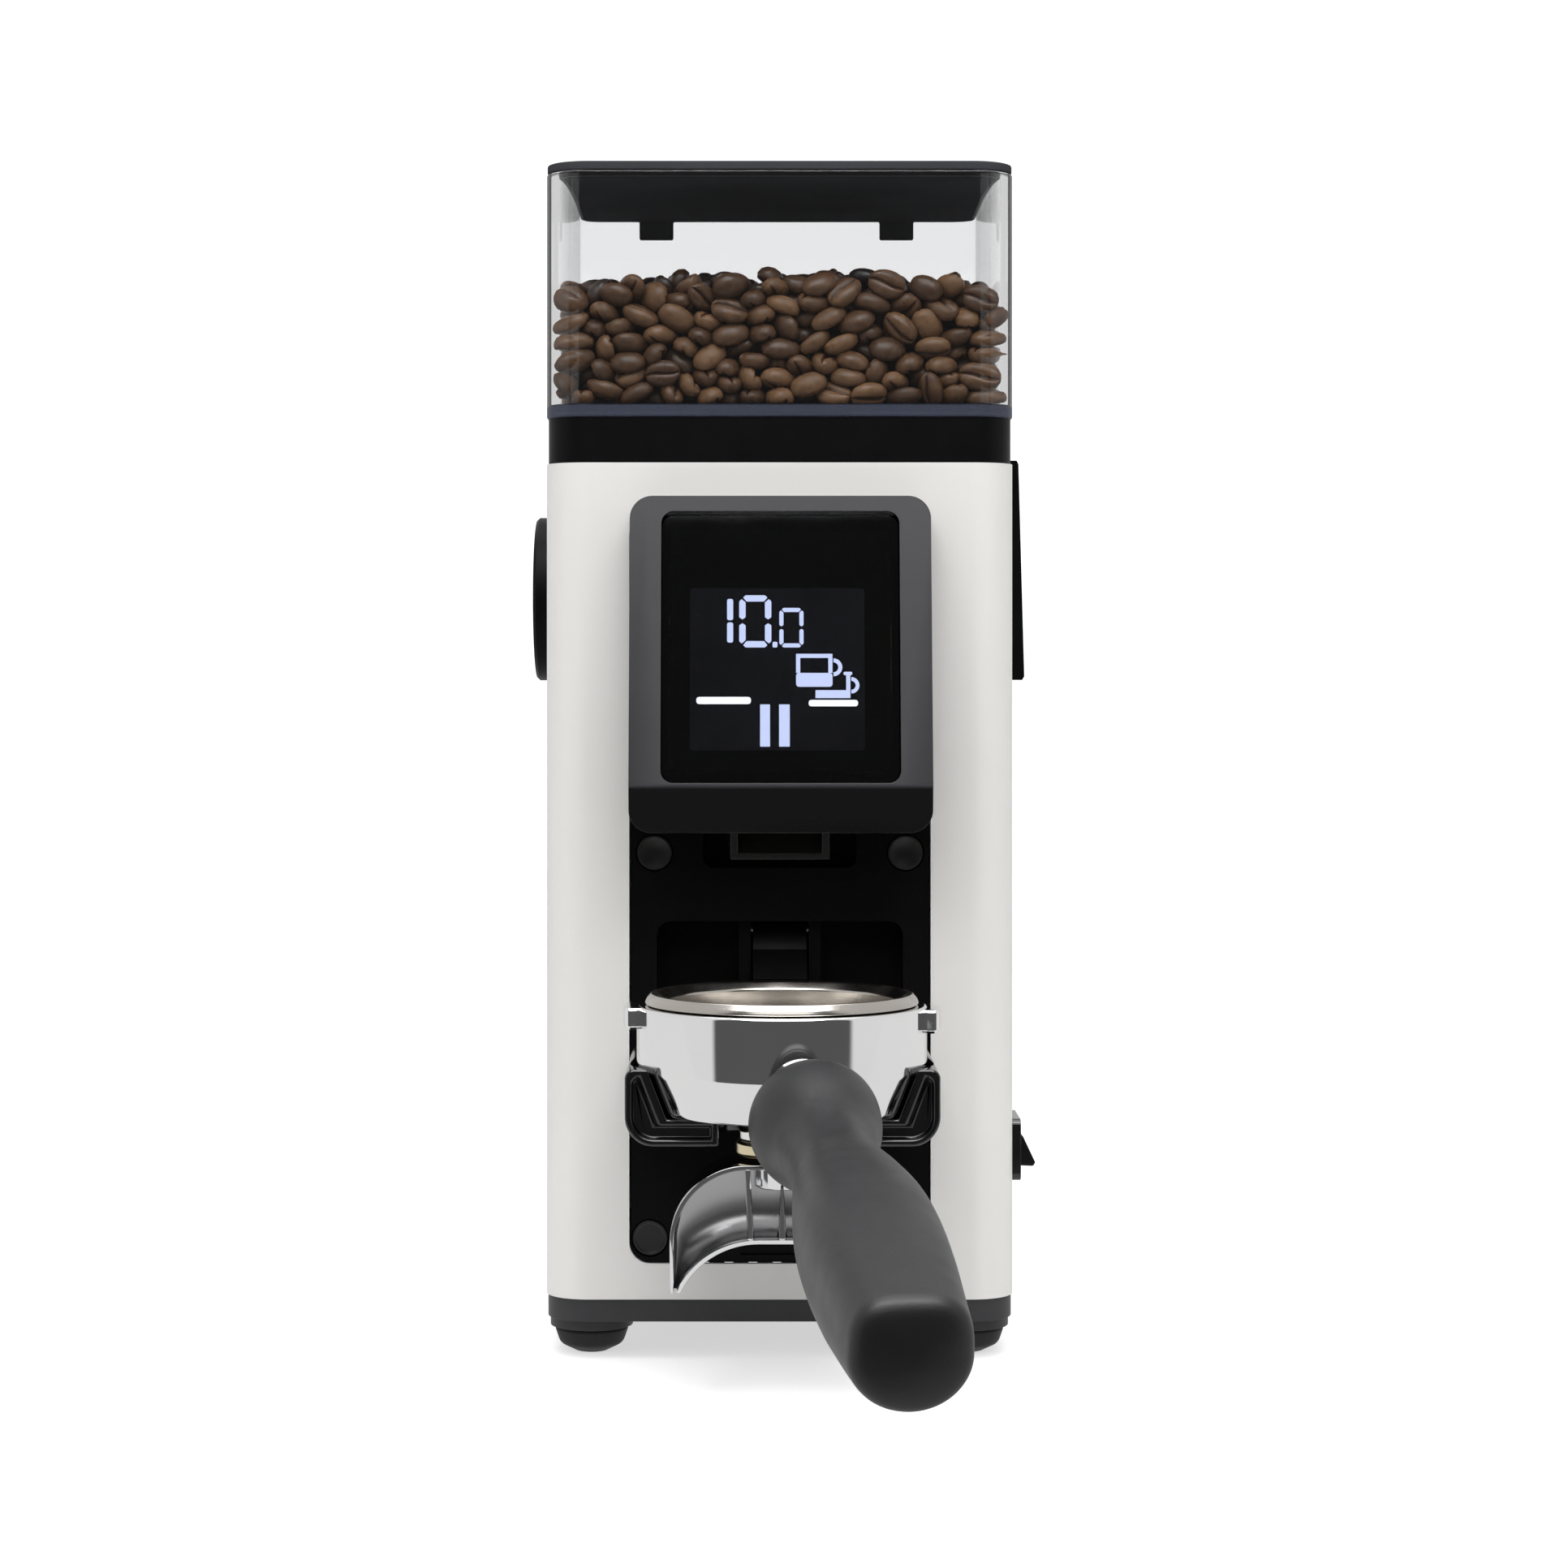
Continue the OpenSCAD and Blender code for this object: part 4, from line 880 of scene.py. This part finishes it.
def handle():
    """Soft-touch grip: round at its flare, then flat on top and full underneath."""
    shape = [(52, 13.8), (56, 15.7), (61, 15.8), (67, 14.8), (76, 12.4), (86, 11.1),
             (98, 11.1), (114, 13.2), (132, 15.0), (150, 15.3), (168, 14.8), (182, 14.0),
             (191, 13.4), (198, 12.9)]
    depths = [(50, 1.0), (84, 1.0), (100, 1.10), (125, 1.15), (150, 1.08), (175, 1.0),
              (204, 0.90)]
    rows = [(9.0, 50.05), (12.9, 50.1), (13.35, 50.6), (13.35, 51.6), (13.0, 52.0)]
    rows += [(r, s) for s, r in smooth_path(shape, 7)]
    rows += [(12.7, 199.4), (12.3, 200.4), (11.7, 201.2), (10.8, 201.85), (9.4, 202.4),
             (7.4, 202.95), (5.0, 203.4), (2.6, 203.75), (0.8, 203.88)]
    count = 112
    rings = []
    for r, s in rows:
        along = share((s - 80) / 70)
        depth = np.interp(s, *zip(*depths))
        drop = -0.8 * share((110 - s) / 60)
        sway = -1.4 * share((s - 105) / 85)
        low = 0.3 * share((200 - s) / 30)
        ring = []
        for k in range(count):
            a = 2 * pi * k / count
            c, d = cos(a), sin(a)
            power = 2.0 + along * (1.0 if d > 0 else low)
            reach = r / (abs(c) ** power + abs(d) ** power) ** (1 / power)
            ring.append((reach * c + sway, reach * d * (depth if d < 0 else 1.0) + drop, s))
        rings.append(ring)
    Solid().loft(rings, ON_HANDLE).piece(
        "handle_grip_moulded", "handle_grip", "filter_holder", ("handle",), sharp=50)


holder_body()
holder_ears()
filter_basket()
spout_nut()
twin_spout()
handle()


# -------- coffee beans

BEAN_L, BEAN_W, BEAN_H = 10.0, 7.7, 5.2
BEAN_COUNT, SETTLE_FRAMES = 1010, 45
# angles of the points round a bean, close together at its crease, and rows along it
AROUND = (-90, -83, -74, -58, -32, 0, 32, 62, 90, 118, 148, 180, 212, 238, 254, 263)
ALONG = 10


def bean_form(along, around, groove):
    """Points of one bean along X, flat side down, and how deep in its crease each is."""
    points, depth = [(BEAN_L / 2, 0, 0)], [0.0]
    for i in range(1, along):
        a = pi * i / along
        r = sin(a) ** 0.82
        for b in around:
            y, z = cos(radians(b)), sin(radians(b))
            height = 0.60 * BEAN_H * z if z > 0 else -0.40 * BEAN_H * abs(z) ** 0.55
            x = BEAN_L / 2 * cos(a)
            crease = exp(-((y * BEAN_W / 2 / 0.62) ** 2)) if z < 0 else 0.0
            sway = 0.45 * sin(x * 0.55) * max(0.0, -z) ** 6
            points.append((x, BEAN_W / 2 * r * y + sway,
                           height * r + groove * crease * sin(a) ** 0.5))
            depth.append(crease)
    points.append((-BEAN_L / 2, 0, 0))
    depth.append(0.0)
    return np.array(points), np.array(depth)


def bean_faces():
    """Faces over bean_form's points: a fan at each tip and rows of quads between."""
    n = len(AROUND)
    last = (ALONG - 1) * n + 1
    faces = [(0, 1 + (k + 1) % n, 1 + k) for k in range(n)]
    for row in range(ALONG - 2):
        for k in range(n):
            a, b = 1 + row * n + k, 1 + row * n + (k + 1) % n
            faces.append((a, b, b + n, a + n))
    start = 1 + (ALONG - 2) * n
    faces += [(last, start + k, start + (k + 1) % n) for k in range(n)]
    return faces


def tub_walls(low, high, core_top):
    """Boxes round the space that the beans fill, and a core where none is ever seen."""
    t, core = 30.0, 14.0
    x0, y0, z0 = low
    x1, y1, z1 = high
    return [((x0 - t, y0 - t, z0 - t), (x1 + t, y1 + t, z0)),
            ((x0 - t, y0 - t, z0 - t), (x0, y1 + t, z1 + 200)),
            ((x1, y0 - t, z0 - t), (x1 + t, y1 + t, z1 + 200)),
            ((x0 - t, y0 - t, z0 - t), (x1 + t, y0, z1 + 200)),
            ((x0 - t, y1, z0 - t), (x1 + t, y1 + t, z1 + 200)),
            ((x0 + core, y0 + core, z0 - 1), (x1 - core, y1 - core, core_top))]


def bean_starts(low, high, core_top, count, rng):
    """Loose places above the floor for every bean, with a turn and a size each."""
    starts = []
    layer = 0
    while len(starts) < count:
        z = low[2] + 6 + layer * 8.7
        for i in range(11):
            for j in range(9):
                x = low[0] + 6.5 + i * 10.6 + rng.uniform(-0.4, 0.4)
                y = low[1] + 6.5 + j * 10.5 + rng.uniform(-0.4, 0.4)
                inside = (low[0] + 8 < x < high[0] - 8 and low[1] + 8 < y < high[1] - 8)
                if inside and z < core_top + 8:
                    continue
                turn = Quaternion([rng.gauss(0, 1) for _ in range(4)]).normalized()
                k = rng.uniform(0.90, 1.08)
                size = (k * rng.uniform(0.94, 1.06), k * rng.uniform(0.94, 1.06), k)
                starts.append(((x, y, z), turn, size))
        layer += 1
    return starts[:count]


def settle(starts, walls, frames):
    """Drops the beans with rigid bodies and returns where each one came to rest."""
    unit = 0.1    # the solver works in centimetres, as it fails on very small bodies
    made = []

    def body(name, points):
        mesh = bpy.data.meshes.new(name)
        build = bmesh.new()
        for p in points:
            build.verts.new([c * unit for c in p])
        bmesh.ops.convex_hull(build, input=build.verts)
        build.to_mesh(mesh)
        build.free()
        made.append(mesh)
        return mesh

    bpy.ops.rigidbody.world_add()
    world = SCENE.rigidbody_world
    world.substeps_per_frame, world.solver_iterations = 6, 12
    SCENE.gravity = (0, 0, -40)
    hull, _ = bean_form(6, range(0, 360, 60), 0.0)
    hull_mesh = body("bean_hull", hull)
    objects = []
    for low, high in walls:
        corners = [(x, y, z) for x in (low[0], high[0]) for y in (low[1], high[1])
                   for z in (low[2], high[2])]
        objects.append(bpy.data.objects.new("tub", body("tub", corners)))
    beans = []
    for place, turn, size in starts:
        bean = bpy.data.objects.new("bean", hull_mesh)
        bean.location = [c * unit for c in place]
        bean.rotation_mode = "QUATERNION"
        bean.rotation_quaternion = turn
        bean.scale = size
        beans.append(bean)
    for kind, group in (("PASSIVE", objects), ("ACTIVE", beans)):
        for o in SCENE.objects:
            o.select_set(False)
        for o in group:
            SCENE.collection.objects.link(o)
            o.select_set(True)
        bpy.context.view_layer.objects.active = group[0]
        bpy.ops.rigidbody.objects_add(type=kind)
        for o in group:
            rb = o.rigid_body
            rb.collision_shape, rb.friction, rb.restitution = "CONVEX_HULL", 0.35, 0.0
            rb.use_margin, rb.collision_margin = True, 0.0
            rb.linear_damping, rb.angular_damping = 0.25, 0.4
    for step in range(1, frames + 1):
        SCENE.frame_set(step)
    graph = bpy.context.evaluated_depsgraph_get()
    rest = []
    for bean in beans:
        place, turn, size = bean.evaluated_get(graph).matrix_world.decompose()
        rest.append((tuple(c / unit for c in place), turn.copy(), tuple(size)))
    for o in beans + objects:
        bpy.data.objects.remove(o)
    for mesh in made:
        bpy.data.meshes.remove(mesh)
    bpy.ops.rigidbody.world_remove()
    SCENE.frame_set(1)
    return rest


def merge_beans(name, rest, form, crease, faces, rng, room, replaced):
    """One mesh from many beans, each with its own roast colour and painted darker away from the
    walls of the room, as painted shade between the beans; the room is given by two opposite
    corners."""
    points, all_faces, roast_and_shade_values, creases = [], [], [], []
    for place, turn, size in rest:
        start = len(creases) * len(form)
        spin = np.array(turn.to_matrix())
        points.append((form * np.array(size)) @ spin.T + np.array(place))
        all_faces += [tuple(i + start for i in f) for f in faces]
        behind = np.minimum(np.abs(points[-1][:, :2] - room[0]),
                            np.abs(points[-1][:, :2] - room[1])).min(axis=1)
        # a random roast value, lowered for beans farther in from the walls: painted shade of the
        # beans in front of them
        roast_and_shade_values.append(rng.uniform(0.18, 0.66) - 0.55 * np.clip((behind - 1.5) / 7.0, 0, 1))
        creases.append(crease)
    mesh = new_mesh(name, np.concatenate(points).tolist(), all_faces)
    for key, values in (("roast_and_shade", roast_and_shade_values), ("crease", creases)):
        layer = mesh.attributes.new(key, "FLOAT", "POINT")
        layer.data.foreach_set("value", np.concatenate(values).astype(np.float32))
    return add_piece(name, mesh, "coffee_beans", "bean_hopper", replaced, sharp=80)


def coffee_charge():
    """Fills the hopper with beans and joins those that can be seen into four pieces."""
    low, high = node_box("bean_charge")
    low, high = tuple(low), tuple(high)
    core_top = low[2] + 18
    rng = random.Random(7)
    starts = bean_starts(low, high, core_top, BEAN_COUNT, rng)
    walls = tub_walls(low, high, core_top)
    rest = settle(starts, walls, SETTLE_FRAMES)
    form, crease = bean_form(ALONG, AROUND, 0.9)
    groups = {"beans_front": [], "beans_left": [], "beans_right": [], "beans_back": []}
    seen_in, seen_down, front, back = 13, 15, 14, 26
    top = max(place[2] for place, _, _ in rest)
    for bean in rest:
        x, y, z = bean[0]
        edge = min(x - low[0], high[0] - x, y - low[1], high[1] - y)
        if edge > seen_in and z < top - seen_down:
            continue
        if y < low[1] + front:
            groups["beans_front"].append(bean)
        elif y > high[1] - back:
            groups["beans_back"].append(bean)
        else:
            groups["beans_left" if x < 0 else "beans_right"].append(bean)
    for name, beans in groups.items():
        merge_beans(name, beans, form, crease, bean_faces(), rng, (low[:2], high[:2]),
                    ("bean_charge",) if name == "beans_front" else ())


coffee_charge()


# -------- finishes of the CAD nodes

for node, thing in NODES.items():
    thing.data.materials.clear()
    thing.data.materials.append(MATERIAL[SLOT_OF[node]])


# -------- floor, light and camera


def floor():
    """Pale sweep: flat under the grinder, curved up far behind it."""
    near, far, bend, top = -0.225, 2.2, 1.2, 4.5
    line = [(near, 0.0), (far, 0.0)]
    line += [(far + bend * sin(radians(a)), bend * (1 - cos(radians(a))))
             for a in range(5, 91, 5)]
    line.append((far + bend, top))
    half = 5.0
    verts = [(x, y, z) for y, z in line for x in (-half, half)]
    faces = [(2 * k, 2 * k + 1, 2 * k + 3, 2 * k + 2) for k in range(len(line) - 1)]
    mesh = bpy.data.meshes.new("floor")
    mesh.from_pydata(verts, [], faces)
    for polygon in mesh.polygons:
        polygon.use_smooth = True
    s = surface("floor_paint", (0.60, 0.60, 0.60), 0.7, vary=0.004, patch=2, grain=300,
                depth=0.02)
    s.set("Emission Color", (1, 1, 1, 1))
    s.to("Emission Strength", s.range(s.axis("Y"), 0.60, 0.95, 0.5, 1.8))
    # its own light isn't thrown back on the grinder, and its mirror image is even
    path = s.node("ShaderNodeLightPath").outputs
    s.blend(path["Diffuse Depth"], s.node("ShaderNodeBsdfDiffuse", (0.88, 0.88, 0.88, 1)))
    s.blend(path["Glossy Depth"], s.node("ShaderNodeEmission", None, 0.74))
    mesh.materials.append(s.mat)
    sweep = bpy.data.objects.new("floor", mesh)
    SCENE.collection.objects.link(sweep)


def area_light(name, place, target, size, power, mirrored=True):
    """Soft lamp aimed at a target; an unmirrored one doesn't show in shiny parts."""
    data = bpy.data.lights.new(name, "AREA")
    data.shape = "RECTANGLE"
    data.size, data.size_y = size
    data.energy = power
    lamp = bpy.data.objects.new(name, data)
    lamp.location = place
    lamp.visible_glossy = mirrored
    lamp.rotation_euler = (Vector(target) - Vector(place)).to_track_quat("-Z", "Y").to_euler()
    SCENE.collection.objects.link(lamp)


def studio_world():
    """White all round except towards the front, where the room behind the viewer is
    dark. What is seen directly or through the clear hopper stays white."""
    mirrored_level, lost_when_diffused, dark_share = 0.72, 0.33, 0.12
    world = bpy.data.worlds.new("studio")
    s = Tree(world)
    path = s.node("ShaderNodeLightPath").outputs
    towards = s.axis("Y", s.node("ShaderNodeTexCoord").outputs["Generated"])
    side = s.node("ShaderNodeMapRange", towards, -0.53, -0.60, 1.0, dark_share,
                  interpolation_type="SMOOTHSTEP").outputs[0]
    diffused = s.math("MINIMUM", path["Diffuse Depth"], 1.0)
    bounces = s.math("ADD", path["Diffuse Depth"], path["Glossy Depth"])
    level = s.math("SUBTRACT", mirrored_level, s.math("MULTIPLY", diffused, lost_when_diffused))
    seen = s.math("LESS_THAN", bounces, 0.5)
    strength = s.math("MAXIMUM", s.math("MULTIPLY", level, side), seen)
    back = s.node("ShaderNodeBackground", (1, 1, 1, 1), strength)
    s.node("ShaderNodeOutputWorld", back.outputs[0])
    SCENE.world = world


def lighting():
    """Two side lamps, two over the front and one overhead, powers in watts."""
    middle, display = (0, 0.08, 0.16), (0, 0.05, 0.2)
    area_light("left", (-1.15, -1.0, 0.75), middle, (0.8, 1.2), 2.9, mirrored=False)
    area_light("right", (1.15, -1.0, 0.75), middle, (0.8, 1.2), 2.9, mirrored=False)
    area_light("key", (0, -1.0, 0.92), display, (1.1, 0.6), 3.6)
    area_light("high", (0, -0.32, 0.85), display, (0.8, 0.4), 6.8)
    area_light("top", (0, 0.3, 1.6), middle, (1.4, 1.0), 9)
    studio_world()
    SCENE.view_settings.view_transform = "Standard"


def camera():
    """Level camera in front of the grinder, shifted to frame it as the photo does."""
    data = bpy.data.cameras.new("camera")
    data.sensor_width = 36
    data.lens = 78.26
    data.shift_x, data.shift_y = 0.0264, -0.0756
    data.clip_start, data.clip_end = 0.05, 20
    eye = bpy.data.objects.new("camera", data)
    eye.location = (-0.010, -0.8696, 0.186)
    eye.rotation_euler = (pi / 2, 0, 0)
    SCENE.collection.objects.link(eye)
    SCENE.camera = eye


floor()
lighting()
camera()

bpy.context.view_layer.update()
